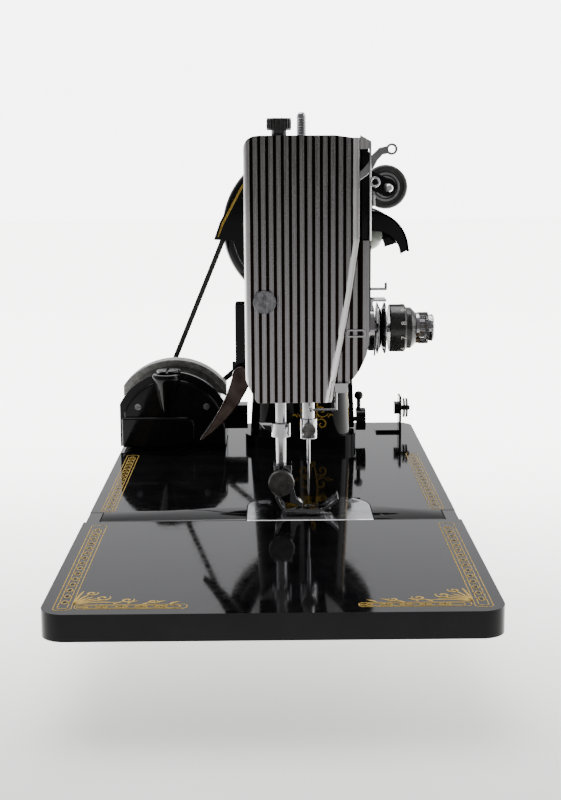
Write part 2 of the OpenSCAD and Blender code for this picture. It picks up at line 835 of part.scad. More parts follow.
module thread_cutter() {
    color([0.75, 0.75, 0.77]) on_bed()
        difference() {
            union() {
                rod_z(37.5, 44, bars_x, presser_y, 4.6);
                slab_x(bars_x - 1, bars_x + 1)
                    polygon([[presser_y + 2.6, 38], [4, 41.5], [6.2, 44.3], [presser_y + 2.6, 44]]);
            }
            rod_z(36, 46, bars_x, presser_y, 2.5);
        }
}

// Coil spring over the presser bar, as its outer sleeve
module presser_spring() {
    color([0.6, 0.6, 0.6]) on_bed()
        difference() {
            rod_z(122.5, 164, bars_x, presser_y, 3.5);
            rod_z(122, 165, bars_x, presser_y, 2.9);
        }
}

module pressure_screw() {
    color([0.03, 0.03, 0.03]) on_bed() {
        rod_z(173.5, 183, bars_x, presser_y, 3.5);
        difference() {
            rod_z(182.5, 188, bars_x, presser_y, 5.7);
            translate([bars_x, presser_y, 183.4]) grip(20, 5.7, 6, 0.6);
        }
    }
}

// Curved thumb lever behind the head, with its pivot pin
module lifter_lever() {
    color([0.78, 0.78, 0.8]) on_bed() {
        slab_x(lift_x, lift_x + 6) {
            translate([lift_y, lift_z]) circle(5);
            polygon(concat(bend([lift_y + 5, lift_z], [lift_y + 8, 52], [35, 35.5], 6),
                bend([34, 34.5], [lift_y + 3, 46], [lift_y - 5, lift_z], 6)));
        }
        rod_x(lift_x + 2, lift_x + 10.8, lift_y, lift_z, 2.4);
    }
}

// ---------------- Thread tension unit ----------------

module tension_discs() {
    color([0.8, 0.8, 0.82]) on_bed() {
        rod_y(-78.5, head_front + 5, tension_x, tension_z, 2.2);
        rod_y(head_front - 2.6, head_front - 0.05, tension_x, tension_z, 11);
        turn_y(tension_x, -52.4, tension_z)
            polygon([[2.2, 0], [9, 0], [12.5, -1.3], [12.5, -0.8], [9, 0.7], [2.2, 0.7]]);
        turn_y(tension_x, -53.4, tension_z)
            polygon([[2.2, 0], [9, 0], [12.5, 1.3], [12.5, 1.9], [9, 0.8], [2.2, 0.8]]);
        block([tension_x - 6, tension_x + 6], [-55.5, head_front - 2], [101.4, 102.4]);
        block([tension_x - 6, tension_x + 6], [head_front - 2, head_front - 0.05], [97, 102.4]);
    }
}

module tension_dial() {
    color([0.03, 0.03, 0.03]) on_bed()
        turn_y(tension_x, -56.9, tension_z)
            polygon([[2.2 + run, 0], [11, 0], [11.5, 0.5], [11.5, 7.4], [11, 7.9], [10, 8.1], [10, 10.6],
                [7.5, 13], [2.2 + run, 13]]);
}

module tension_nut() {
    color("silver") on_bed()
        difference() {
            turn_y(tension_x, -70, tension_z)
                polygon([[2.2 + run, 0], [7.5, 0], [7.5, 1.5], [4.7, 2], [4.7, 4.3], [6, 5],
                    [6.6, 8], [6, 8.6], [2.2 + run, 8.6]]);
            translate([tension_x, -75, tension_z]) rotate([90, 0, 0]) grip(24, 6.8, 5, 0.7);
        }
}

module check_spring() {
    color([0.7, 0.7, 0.7]) on_bed() {
        difference() {
            rod_y(-50.9, -50.1, tension_x, tension_z, 4.2);
            rod_y(-52, -49, tension_x, tension_z, 2.2 + run);
        }
        translate([tension_x, -50.9, tension_z]) rotate([0, 75, 0])
            block([3.6, 14.5], [0, 0.8], [-0.4, 0.4]);
    }
}

// ---------------- Lamp ----------------

module shade_section(r) {
    intersection() {
        translate([lamp_y, lamp_z]) circle(r);
        translate([lamp_y - r, lamp_z]) square([r, r]);
    }
    translate([lamp_y - 0.1, lamp_z]) square([7.1, r]);
    translate([lamp_y - r, lamp_z - 3]) square([r + 7, 3.1]);
}

module lamp_shade() {
    color([0.02, 0.02, 0.02]) on_bed()
        difference() {
            slab_x(lamp_x0, lamp_x1) shade_section(lamp_r);
            slab_x(lamp_x0 + 1.5, lamp_x1 - 1.5) {
                shade_section(lamp_r - 1.5);
                translate([lamp_y - lamp_r + 1.5, lamp_z - 5]) square([lamp_r + 6, 7]);
            }
            rod_z(130, 150, 108, lamp_y - 2, 2);
            rod_x(lamp_x1 - 3, lamp_x1 + 1, bulb_y, bulb_z, 3);
        }
}

module lamp_socket() {
    color([0.7, 0.7, 0.72]) on_bed() {
        rod_x(97, lamp_x1 - 2, bulb_y, bulb_z, bulb_r);
        block([104, 114], [lamp_y + 4, -43.1], [lamp_z + 2, lamp_z + 10]);
    }
}

module lamp_bulb() {
    color([0.85, 0.92, 0.85, 0.6]) on_bed() {
        rod_x(78, 97, bulb_y, bulb_z, bulb_r);
        translate([78, bulb_y, bulb_z]) sphere(bulb_r);
    }
}

module lamp_switch() {
    color([0.03, 0.03, 0.03]) on_bed() {
        rod_z(lamp_z + lamp_r + 0.2, lamp_z + lamp_r + 6, 108, lamp_y - 2, 4);
        rod_z(lamp_z + 14.5, lamp_z + lamp_r + 1, 108, lamp_y - 2, 2 - run);
    }
}

// ---------------- Stitch regulator ----------------

module stitch_plate() {
    color([0.03, 0.03, 0.03]) on_bed()
        translate([0, -47, 7]) rotate([-pillar_lean, 0, 0]) translate([0, 47, -7])
            difference() {
                slab_y(-49.6, -47.1) round_rect(stitch_x - 9, stitch_x + 9, 7.3, 46, 8.9);
                block([stitch_x - 1.5, stitch_x + 1.5], [-52, -46], [18, 38]);
                rod_y(-52, -46, stitch_x, stitch_low, 1.7);
            }
}

module stitch_lever() {
    color([0.03, 0.03, 0.03]) on_bed() {
        rod_y(stitch_y - 4, -50.6, stitch_x, stitch_low, 6.8);
        rod_y(stitch_y - 2, -40, stitch_x, stitch_low, 1.45);
        rod_z(stitch_low, 26, stitch_x, stitch_y, 1.2);
        translate([stitch_x, stitch_y, 27]) sphere(2.7);
    }
}

// ---------------- Bobbin winder ----------------

module winder_arm() {
    color([0.75, 0.75, 0.77]) on_bed()
        difference() {
            union() {
                slab_x(206.4, 209.4) {
                    translate([winder_pivot_y, winder_pivot_z]) circle(6);
                    translate([winder_y, winder_z]) circle(5.5);
                    polygon([[winder_pivot_y, winder_pivot_z + 6], [winder_y, winder_z + 5.5],
                        [winder_y, winder_z - 5.5], [winder_pivot_y, winder_pivot_z - 6]]);
                }
                rod_x(209, 214, winder_y, winder_z, 5.5);
                rod_x(198.5, 209, winder_pivot_y, winder_pivot_z, 2.5);
            }
            rod_x(200, 216, winder_y, winder_z, 2.4 + run);
        }
}

module winder_wheel() {
    color([0.05, 0.05, 0.05]) on_bed() {
        rod_x(192, 226, winder_y, winder_z, 2.4);
        rod_x(belt_x - 5, belt_x + 3, winder_y, winder_z, winder_r);
    }
}

module winder_tension() {
    color([0.5, 0.5, 0.5]) on_bed() {
        block([209, 221], [-79.5, -64.5], [0.05, 1.6]);
        block([209, 221], [-80.3, -78.8], [0.05, 22.5]);
        rod_y(-86, -76, 215, 14.7, 1.5);
        rod_y(-82.6, -81.4, 215, 14.7, 6);
        rod_y(-84.4, -83.2, 215, 14.7, 6);
        rod_y(-78.8, -76, 215, 14.7, 4);
    }
}

// ---------------- Motor ----------------

motor_half = 31;

module motor_section(r) {
    intersection() {
        translate([motor_y, 11]) circle(r);
        translate([motor_y - motor_half, 2]) square([2 * motor_half, 60]);
    }
}

module motor_end_caps() {
    color([0.02, 0.02, 0.02]) on_bed() {
        difference() {
            union() {
                slab_x(165, 189) motor_section(35);
                translate([172, motor_y + 3, 20]) cylinder(h = 24, r1 = 3, r2 = 7.2);
                // Ledge across the front
                slab_x(162.5, 165.5) round_rect(motor_y - 9, motor_y + motor_half - 1, 2, 20, 8);
                // Foot that bolts to the pillar
                block([176, 188], [14.5, 30], [10, 24]);
            }
            rod_x(166.5, 190, motor_y, motor_z, 19);
            rod_x(163.5, 167, motor_y, motor_z, 3.2);
            // Flat that the brush cap sits on
            rod_z(44, 47, 172, motor_y + 3, 7.2);
        }
        difference() {
            slab_x(201, 215) motor_section(35);
            rod_x(200, 213, motor_y, motor_z, 19);
            rod_x(212, 216, motor_y, motor_z, 3 + run);
        }
    }
}

module motor_core() {
    color([0.5, 0.5, 0.5]) on_bed()
        difference() {
            slab_x(189, 201) motor_section(38.7);
            rod_x(188, 202, motor_y, motor_z, 15.5);
        }
}

module brush_caps() {
    color([0.04, 0.04, 0.04]) on_bed()
        translate([172, motor_y + 3, 44.05])
            difference() {
                cylinder(h = 2.2, r = 6.4);
                translate([-7, -0.6, 1.2]) cube([14, 1.2, 2]);
            }
}

module motor_shaft() {
    color([0.7, 0.7, 0.72]) on_bed() {
        rod_x(168, 229, motor_y, motor_z, 3);
        rod_x(186, 204, motor_y, motor_z, 14);
        turn_x(belt_x - 5, motor_y, motor_z)
            polygon([[2.9, 0], [motor_groove_r + 2.5, 0], [motor_groove_r, 3.5], [motor_groove_r, 6.5],
                [motor_groove_r + 2.5, 10], [2.9, 10]]);
    }
}

belt_far = sqrt(pow(motor_y - axis_y, 2) + pow(motor_z - shaft_z, 2));
belt_turn = atan2(motor_z - shaft_z, motor_y - axis_y);
belt_lean = acos((wheel_groove_r - motor_groove_r) / belt_far);

// Filled outline of the belt's path, at a distance outside the grooves
module belt_path(d) {
    a = wheel_groove_r + d;
    b = motor_groove_r + d;
    translate([axis_y, shaft_z]) circle(a);
    translate([motor_y, motor_z]) circle(b);
    polygon([for (s = [1, -1], k = [0, 1])
        let (t = belt_turn + s * belt_lean, on_motor = s > 0 ? k : 1 - k)
        on_motor == 0 ? [axis_y + a * cos(t), shaft_z + a * sin(t)]
            : [motor_y + b * cos(t), motor_z + b * sin(t)]]);
}

// The loop comes out as two arcs and two straight runs that meet face to face
module drive_belt() {
    color([0.03, 0.03, 0.03]) on_bed()
        slab_x(belt_x - 1, belt_x + 1)
            difference() {
                belt_path(3.4);
                belt_path(0.3);
            }
}

module terminal_block() {
    color([0.04, 0.04, 0.04]) on_bed() {
        block([bed_l - base_inset, bed_l - 1.5], [-52, -20], [-34, -18]);
        for (y = [-46, -36, -26])
            rod_x(bed_l - 2, far_x - 0.5, y, -26, 2);
    }
}

bed();
bed_leaf();
leaf_hinge_pins();
drip_pan();
drip_pan_screw();
rubber_feet();
arm_casting();
faceplate();
cover_screws();
thread_guides();
needle_plate();
main_shaft();
arm_bushings();
handwheel();
clutch_knob();
needle_crank();
main_bevel_gear();
vertical_shaft();
vertical_gears();
hook_shaft();
hook_gear();
rotary_hook();
bobbin_case_base();
bobbin_case();
bobbin();
bobbin_latch();
feed_dog();
feed_fork();
needle_bar();
needle_clamp();
needle();
needle_link();
take_up_lever();
presser_bar();
presser_foot();
presser_foot_screw();
thread_cutter();
presser_spring();
pressure_screw();
lifter_lever();
tension_discs();
tension_dial();
tension_nut();
check_spring();
spool_pin();
lamp_shade();
lamp_socket();
lamp_bulb();
lamp_switch();
stitch_plate();
stitch_lever();
winder_arm();
winder_wheel();
winder_tension();
motor_end_caps();
motor_core();
brush_caps();
motor_shaft();
drive_belt();
terminal_block();
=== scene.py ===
import math

import bmesh
import bpy
from mathutils import Matrix, Vector


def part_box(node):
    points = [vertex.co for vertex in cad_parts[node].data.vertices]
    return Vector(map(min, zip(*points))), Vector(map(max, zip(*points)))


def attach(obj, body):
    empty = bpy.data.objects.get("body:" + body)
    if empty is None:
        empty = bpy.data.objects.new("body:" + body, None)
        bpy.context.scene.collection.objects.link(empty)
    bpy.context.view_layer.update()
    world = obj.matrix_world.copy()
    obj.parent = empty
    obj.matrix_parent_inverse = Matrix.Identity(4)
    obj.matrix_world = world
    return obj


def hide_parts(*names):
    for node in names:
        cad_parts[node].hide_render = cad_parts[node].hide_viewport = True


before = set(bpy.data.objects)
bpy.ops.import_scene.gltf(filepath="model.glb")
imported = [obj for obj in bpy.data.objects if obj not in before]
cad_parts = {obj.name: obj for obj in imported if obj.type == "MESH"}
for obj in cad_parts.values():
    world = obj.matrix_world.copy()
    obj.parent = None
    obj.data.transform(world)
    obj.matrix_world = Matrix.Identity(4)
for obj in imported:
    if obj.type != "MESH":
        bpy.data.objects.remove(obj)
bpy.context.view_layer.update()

# ---------------------------------------------------------------- room
# The machine stands on a pale table top in front of a long lens that looks along the
# bed from the needle end. Soft boxes light it from above and from the operator's side, and
# a pale room closes in behind. The table top glows with painted light, none in front of the
# machine and brightening towards the back.
mm = 0.001
end_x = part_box("bed")[0].x
top_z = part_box("bed")[1].z


def at(x, y, z):
    """Point in millimetres from the bed's needle end, its middle line and its top."""
    return Vector((end_x + x * mm, y * mm, top_z + z * mm))


camera_data = bpy.data.cameras.new("long_lens")
camera_data.lens = 63.14
camera_data.sensor_width = 36
camera = bpy.data.objects.new("long_lens", camera_data)
turn, tilt, lean = math.radians(-0.32), math.radians(10.04), math.radians(-0.4)
ahead = Vector((math.cos(turn) * math.cos(tilt), math.sin(turn) * math.cos(tilt), -math.sin(tilt)))
level = Vector((math.sin(turn), -math.cos(turn), 0))
upright = level.cross(ahead)
side = level * math.cos(lean) + upright * math.sin(lean)
over = upright * math.cos(lean) - level * math.sin(lean)
facing = Matrix((side, over, -ahead)).transposed().to_4x4()
eye = at(-647.1, -0.5, 172.7)
camera.matrix_world = Matrix.Translation(eye) @ facing
bpy.context.scene.collection.objects.link(camera)
bpy.context.scene.camera = camera


def soft_box(name, place, aim, size, power):
    """A rectangular area light at a place, turned to its aim."""
    data = bpy.data.lights.new(name, "AREA")
    data.shape = "RECTANGLE"
    data.size, data.size_y = size
    data.energy = power
    lamp = bpy.data.objects.new(name, data)
    lamp.location = place
    lamp.rotation_mode = "QUATERNION"
    lamp.rotation_quaternion = (Vector(aim) - Vector(place)).to_track_quat("-Z", "Y")
    bpy.context.scene.collection.objects.link(lamp)


soft_box("overhead", (0.35, 0.2, 1.4), (0, 0, 0.1), (1.2, 1.2), 20)
soft_box("window", (0.1, -1.6, 0.8), (0, 0, 0.1), (1.0, 1.1), 12)

world = bpy.data.worlds.new("pale_room")
world.use_nodes = True
bpy.context.scene.world = world
air = world.node_tree
backdrop = air.nodes["Background"]
backdrop.inputs["Strength"].default_value = 1.3
direction = air.nodes.new("ShaderNodeTexCoord")
parts = air.nodes.new("ShaderNodeSeparateXYZ")
air.links.new(direction.outputs["Generated"], parts.inputs[0])
depth = air.nodes.new("ShaderNodeMapRange")
depth.inputs["From Min"].default_value = -0.55
depth.inputs["From Max"].default_value = 0.45
air.links.new(parts.outputs["X"], depth.inputs["Value"])
tone = air.nodes.new("ShaderNodeValToRGB")
tone.color_ramp.elements[0].color = (0.2, 0.195, 0.19, 1)
tone.color_ramp.elements[1].color = (0.86, 0.86, 0.88, 1)
air.links.new(depth.outputs["Result"], tone.inputs["Fac"])
air.links.new(tone.outputs["Color"], backdrop.inputs["Color"])
# The wall behind is lit on its own, far brighter than what the machine mirrors
wall = air.nodes.new("ShaderNodeBackground")
wall.inputs["Color"].default_value = (0.98, 0.98, 1, 1)
wall.inputs["Strength"].default_value = 6.5
seen = air.nodes.new("ShaderNodeLightPath")
either = air.nodes.new("ShaderNodeMixShader")
air.links.new(seen.outputs["Is Camera Ray"], either.inputs["Fac"])
air.links.new(backdrop.outputs[0], either.inputs[1])
air.links.new(wall.outputs[0], either.inputs[2])
air.links.new(either.outputs[0], air.nodes["World Output"].inputs["Surface"])


def link_mesh(name, mesh):
    """Puts a mesh in the scene as a piece of its own."""
    piece = bpy.data.objects.new(name, mesh)
    bpy.context.scene.collection.objects.link(piece)
    return piece


def mesh_from(name, points, faces):
    mesh = bpy.data.meshes.new(name)
    mesh.from_pydata([tuple(p) for p in points], [], faces)
    mesh.validate()
    return link_mesh(name, mesh)


table_half = 4
floor = mesh_from("table_top", [(-table_half, -table_half, 0), (table_half, -table_half, 0),
                                (table_half, table_half, 0), (-table_half, table_half, 0)], [(0, 1, 2, 3)])


class Finish:
    """A material's nodes, with short calls for patterns in Object coordinates."""

    def __init__(self, name, color, roughness, metallic=0.0):
        self.material = bpy.data.materials.new(name)
        self.material.use_nodes = True
        self.nodes = self.material.node_tree.nodes
        self.links = self.material.node_tree.links
        self.shader = self.nodes["Principled BSDF"]
        self.shader.inputs["Base Color"].default_value = (*color, 1)
        self.shader.inputs["Roughness"].default_value = roughness
        self.shader.inputs["Metallic"].default_value = metallic
        self.place = self.nodes.new("ShaderNodeTexCoord").outputs["Object"]

    def stretch(self, sizes):
        mapping = self.nodes.new("ShaderNodeMapping")
        mapping.inputs["Scale"].default_value = sizes
        self.links.new(self.place, mapping.inputs["Vector"])
        return mapping.outputs["Vector"]

    def noise(self, scale, detail=3, where=None):
        grain = self.nodes.new("ShaderNodeTexNoise")
        grain.inputs["Scale"].default_value = scale
        grain.inputs["Detail"].default_value = detail
        self.links.new(where or self.place, grain.inputs["Vector"])
        return grain.outputs["Fac"]

    def ramp(self, value, low, high):
        spread = self.nodes.new("ShaderNodeMapRange")
        spread.inputs["From Min"].default_value = 0.3
        spread.inputs["From Max"].default_value = 0.7
        spread.inputs["To Min"].default_value = low
        spread.inputs["To Max"].default_value = high
        self.links.new(value, spread.inputs["Value"])
        return spread.outputs["Result"]

    def tint(self, value, stops):
        ramp = self.nodes.new("ShaderNodeValToRGB")
        band = ramp.color_ramp
        while len(band.elements) < len(stops):
            band.elements.new(0.5)
        for element, (spot, color) in zip(band.elements, stops):
            element.position = spot
            element.color = (*color, 1)
        self.links.new(value, ramp.inputs["Fac"])
        self.links.new(ramp.outputs["Color"], self.shader.inputs["Base Color"])

    def rough(self, value, low, high):
        self.links.new(self.ramp(value, low, high), self.shader.inputs["Roughness"])

    def bump(self, value, height, strength=0.5):
        bump = self.nodes.new("ShaderNodeBump")
        bump.inputs["Distance"].default_value = height
        bump.inputs["Strength"].default_value = strength
        self.links.new(value, bump.inputs["Height"])
        self.links.new(bump.outputs["Normal"], self.shader.inputs["Normal"])


table_finish = Finish("pale_table", (0.86, 0.855, 0.84), 0.75)
table_finish.tint(table_finish.noise(9), [(0.3, (0.8, 0.795, 0.78)), (0.7, (0.88, 0.875, 0.86))])
table_finish.bump(table_finish.noise(420), 0.0004, 0.3)
# Painted light: the table top glows, not at all in front of the machine and brighter towards the back.
table_finish.shader.inputs["Emission Color"].default_value = (1, 0.99, 0.97, 1)
along_table = table_finish.nodes.new("ShaderNodeSeparateXYZ")
table_finish.links.new(table_finish.place, along_table.inputs[0])
painted_table_glow = table_finish.nodes.new("ShaderNodeMapRange")
painted_table_glow.interpolation_type = "SMOOTHSTEP"
for label, value in (("From Min", -0.42), ("From Max", 0.5), ("To Min", 0.0), ("To Max", 5.4)):
    painted_table_glow.inputs[label].default_value = value
table_finish.links.new(along_table.outputs["X"], painted_table_glow.inputs["Value"])
table_finish.links.new(painted_table_glow.outputs["Result"], table_finish.shader.inputs["Emission Strength"])
floor.data.materials.append(table_finish.material)

# ---------------------------------------------------------------- bed
# Cast bed, ground flat and sprayed with many coats of black enamel, rubbed down and
# varnished to a mirror. Its rim overhangs the narrower base that holds the mechanism.
enamel = Finish("black_enamel", (0.004, 0.004, 0.0045), 0.05)
enamel.shader.inputs["Specular IOR Level"].default_value = 0.18
enamel.tint(enamel.noise(60, 4), [(0.35, (0.002, 0.002, 0.0025)), (0.75, (0.0055, 0.0055, 0.006))])
enamel.rough(enamel.noise(240, 5), 0.035, 0.085)
enamel.bump(enamel.noise(120, 2), 0.00001, 0.35)


def smooth(mesh, angle=32):
    mesh.shade_smooth()
    mesh.set_sharp_from_angle(angle=math.radians(angle))


def plain_mesh(piece):
    """Turns a piece's modifiers into its own mesh."""
    graph = bpy.context.evaluated_depsgraph_get()
    made = bpy.data.meshes.new_from_object(piece.evaluated_get(graph), depsgraph=graph)
    piece.modifiers.clear()
    piece.data = made
    return piece


def eased(name, node, width, corner=40, steps=3):
    """A copy of a CAD node's mesh with its sharp edges broken by a small round."""
    work = bmesh.new()
    work.from_mesh(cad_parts[node].data)
    bmesh.ops.remove_doubles(work, verts=work.verts, dist=0.002 * mm)
    bmesh.ops.dissolve_limit(work, angle_limit=math.radians(0.6), verts=work.verts, edges=work.edges)
    mesh = bpy.data.meshes.new(name)
    work.to_mesh(mesh)
    work.free()
    smooth(mesh)
    piece = link_mesh(name, mesh)
    round_off = piece.modifiers.new("round_off", "BEVEL")
    round_off.width = width * mm
    round_off.segments = steps
    round_off.limit_method = "ANGLE"
    round_off.angle_limit = math.radians(corner)
    round_off.harden_normals = True
    plain_mesh(piece)
    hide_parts(node)
    return piece


def dress(piece, finish, body):
    piece.data.materials.clear()
    piece.data.materials.append(finish.material)
    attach(piece, body)
    return piece


def cover(node, finish):
    """Gives a CAD node that stays as it is its finish."""
    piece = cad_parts[node]
    for slot in piece.material_slots:
        slot.material = finish.material


dress(eased("bed_casting", "bed", 1.2), enamel, "frame")

# ---------------------------------------------------------------- leaf
# Folding leaf that lengthens the bed, a thin casting with a turned-down apron. Its top
# edge has a fuller round than the bed's, and two lugs carry it on pins at the bed's end.
dress(eased("folding_leaf", "bed_leaf", 1.8, steps=5), enamel, "leaf")

ground_steel = Finish("ground_steel", (0.52, 0.52, 0.54), 0.3, metallic=1)
ground_steel.rough(ground_steel.noise(900, 4, ground_steel.stretch((1, 1, 12))), 0.2, 0.38)
ground_steel.bump(ground_steel.noise(1400, 3, ground_steel.stretch((1, 1, 14))), 0.00002)
cover("leaf_hinge_pins", ground_steel)

# ---------------------------------------------------------------- drip pan and feet
# Pressed pan that closes the base from below, its knurled screw, and four rubber feet.
cover("drip_pan", enamel)
chrome = Finish("chrome_plate", (0.38, 0.38, 0.395), 0.08, metallic=1)
chrome.rough(chrome.noise(330, 5), 0.05, 0.16)
chrome.tint(chrome.noise(90, 3), [(0.3, (0.32, 0.32, 0.33)), (0.7, (0.43, 0.43, 0.45))])
cover("drip_pan_screw", chrome)
foot_rubber = Finish("foot_rubber", (0.02, 0.02, 0.02), 0.75)
foot_rubber.tint(foot_rubber.noise(300), [(0.3, (0.014, 0.014, 0.014)), (0.7, (0.035, 0.034, 0.033))])
foot_rubber.bump(foot_rubber.noise(1500), 0.00008)
cover("rubber_feet", foot_rubber)

# ---------------------------------------------------------------- arm, head and pillar
# One hollow casting: the head over the needle, the arm, the pillar on the bed, and the
# hood that guards the belt. Sprayed and varnished with the bed.
dress(eased("arm_and_pillar", "arm_casting", 0.9, corner=50), enamel, "frame")

# ---------------------------------------------------------------- gold lining
# Transfers laid on the enamel under the varnish: bands of links inside both long edges of
# bed and leaf, thin bands and fans at the leaf's outer corners, scrolls and lines on the
# pillar and the belt hood.
gold = Finish("gold_transfer", (0.45, 0.29, 0.045), 0.5, metallic=0.35)
gold.shader.inputs["Specular IOR Level"].default_value = 0.25
gold.tint(gold.noise(700, 5), [(0.3, (0.34, 0.2, 0.025)), (0.7, (0.58, 0.4, 0.085))])
gold.rough(gold.noise(1200, 4), 0.4, 0.62)


class Pattern:
    """A Geometry Nodes tree with named sizes, grown into a plain mesh."""

    def __init__(self, name, **sizes):
        self.name, self.sizes = name, sizes
        self.tree = bpy.data.node_groups.new(name, "GeometryNodeTree")
        kinds = {int: "NodeSocketInt", float: "NodeSocketFloat"}
        for label, value in sizes.items():
            self.tree.interface.new_socket(label, in_out="INPUT", socket_type=kinds[type(value)])
        self.tree.interface.new_socket("Geometry", in_out="OUTPUT", socket_type="NodeSocketGeometry")
        self.source = self.tree.nodes.new("NodeGroupInput")
        self.end = self.tree.nodes.new("NodeGroupOutput")

    def add(self, kind, **sockets):
        node = self.tree.nodes.new(kind)
        for label, value in sockets.items():
            socket = node.inputs[label.replace("_", " ")]
            for one in value if isinstance(value, list) else [value]:
                if isinstance(one, bpy.types.NodeSocket):
                    self.tree.links.new(one, socket)
                elif isinstance(one, str):
                    self.tree.links.new(self.source.outputs[one], socket)
                else:
                    socket.default_value = one
        return node.outputs[0]

    def point(self, x=0.0, y=0.0, z=0.0):
        return self.add("ShaderNodeCombineXYZ", X=x, Y=y, Z=z)

    def sum(self, a, b, how="ADD"):
        node = self.tree.nodes.new("ShaderNodeMath")
        node.operation = how
        for socket, value in zip(node.inputs, (a, b)):
            if isinstance(value, str):
                self.tree.links.new(self.source.outputs[value], socket)
            elif isinstance(value, bpy.types.NodeSocket):
                self.tree.links.new(value, socket)
            else:
                socket.default_value = value
        return node.outputs[0]

    def grow(self, shape, finish):
        real = self.add("GeometryNodeRealizeInstances", Geometry=shape)
        dressed = self.tree.nodes.new("GeometryNodeSetMaterial")
        self.tree.links.new(real, dressed.inputs["Geometry"])
        dressed.inputs["Material"].default_value = finish.material
        self.tree.links.new(dressed.outputs[0], self.end.inputs[0])
        piece = link_mesh(self.name, bpy.data.meshes.new(self.name))
        modifier = piece.modifiers.new("pattern", "NODES")
        modifier.node_group = self.tree
        for item in self.tree.interface.items_tree:
            if item.in_out == "INPUT":
                modifier[item.identifier] = self.sizes[item.name]
        return plain_mesh(piece)


def settle(piece, *moves):
    """Puts a mesh grown at the origin into its place, leaving the object at the origin."""
    for move in moves:
        piece.data.transform(move)
    return piece


def link_band(name, length, width):
    """A band of interlocked oblong links between two lines, along +X from the origin."""
    pitch = 7.6 * mm
    band = Pattern(name, Links=int(length / pitch) - 1, Pitch=pitch, Width=width, Line=0.42 * mm,
                   Lift=0.08 * mm, Length=length)
    pen = band.add("GeometryNodeCurvePrimitiveQuadrilateral", Width="Line", Height="Lift")
    shapes = []
    for long_side, short_side, shift in ((1.0, 0.56, 0.0), (0.62, 0.26, 0.5)):
        oblong = band.add("GeometryNodeCurvePrimitiveQuadrilateral",
                          Width=band.sum("Pitch", long_side, "MULTIPLY"),
                          Height=band.sum("Width", short_side, "MULTIPLY"))
        rounded = band.add("GeometryNodeFilletCurve", Curve=oblong,
                           Radius=band.sum("Width", 0.12, "MULTIPLY"))
        link = band.add("GeometryNodeCurveToMesh", Curve=rounded, Profile_Curve=pen)
        row = band.add("GeometryNodeMeshLine", Count="Links", Offset=band.point(x="Pitch"),
                       Start_Location=band.point(x=band.sum("Pitch", 1 + shift, "MULTIPLY")))
        shapes.append(band.add("GeometryNodeInstanceOnPoints", Points=row, Instance=link))
    loop = band.add("GeometryNodeCurvePrimitiveQuadrilateral",
                    Width=band.sum("Length", 0.5 * width, "SUBTRACT"), Height="Width")
    rounded_loop = band.add("GeometryNodeFilletCurve", Curve=loop, Radius=1.2 * mm)
    frame_line = band.add("GeometryNodeCurveToMesh", Curve=rounded_loop, Profile_Curve=pen)
    shapes.append(band.add("GeometryNodeTransform", Geometry=frame_line,
                           Translation=band.point(x=band.sum("Length", 0.5, "MULTIPLY"))))
    return band.grow(band.add("GeometryNodeJoinGeometry", Geometry=shapes), gold)


def ribbon(name, strokes, width, onto, thick=0.06):
    """Flat strokes along 2-D paths in millimetres; onto(u, v, lift) puts them in place."""
    points, faces = [], []
    for path in strokes:
        base = len(points)
        for i, (u, v) in enumerate(path):
            before, after = path[max(i - 1, 0)], path[min(i + 1, len(path) - 1)]
            du, dv = after[0] - before[0], after[1] - before[1]
            size = math.hypot(du, dv) or 1
            taper = min(1.0, 0.35 + 3.0 * min(i, len(path) - 1 - i) / len(path))
            nu, nv = -dv / size * width / 2 * taper, du / size * width / 2 * taper
            for su, lift in ((1, 0.01), (-1, 0.01), (-1, thick), (1, thick)):
                points.append(onto(u + su * nu, v + su * nv, lift))
        last = len(path) - 1
        for i in range(last):
            for k in range(4):
                a, b = base + 4 * i + k, base + 4 * i + (k + 1) % 4
                faces.append((a, a + 4, b + 4, b))
        faces.append(tuple(base + k for k in (0, 1, 2, 3)))
        faces.append(tuple(base + 4 * last + k for k in (3, 2, 1, 0)))
    piece = mesh_from(name, points, faces)
    outward(piece)
    return piece


def outward(piece):
    """Joins a piece's touching corners and turns its faces outwards."""
    work = bmesh.new()
    work.from_mesh(piece.data)
    bmesh.ops.remove_doubles(work, verts=work.verts, dist=0.0005 * mm)
    bmesh.ops.recalc_face_normals(work, faces=work.faces)
    work.to_mesh(piece.data)
    work.free()
    return piece


def scroll(u, v, size, turns, start, n=26):
    """Points along a spiral that opens from its eye."""
    path = []
    for i in range(n + 1):
        t = i / n
        angle = math.radians(start) + turns * math.tau * t
        reach = size * (0.12 + 0.88 * t)
        path.append((u + reach * math.cos(angle), v + reach * math.sin(angle)))
    return path


def lay_band(name, x0, x1, y, width, body, across=False):
    """Lays a band on the bed or leaf from x0 to x1; across runs it along Y instead."""
    band = link_band(name, abs(x1 - x0) * mm, width * mm)
    turned = Matrix.Rotation(math.radians(90), 4, "Z") if across else Matrix.Identity(4)
    start = at(y, x0, 0.03) if across else at(x0, y, 0.03)
    settle(band, turned, Matrix.Translation(start))
    outward(band)
    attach(band, body)


band_out, band_in, band_end_x = 78, 32, -127
for half, word in ((1, "rear"), (-1, "front")):
    lay_band(f"gold_band_bed_{word}", 17, 150, half * 80.5, 6.6, "frame")
    lay_band(f"gold_band_leaf_{word}", -132.5, -5, half * 81.4, 7.0, "leaf")
    low_y = band_in if half > 0 else -band_out
    lay_band(f"gold_band_leaf_end_{word}", low_y, low_y + band_out - band_in, band_end_x, 5.0,
             "leaf", across=True)


def on_top(u, v, lift):
    return at(u, v, lift)


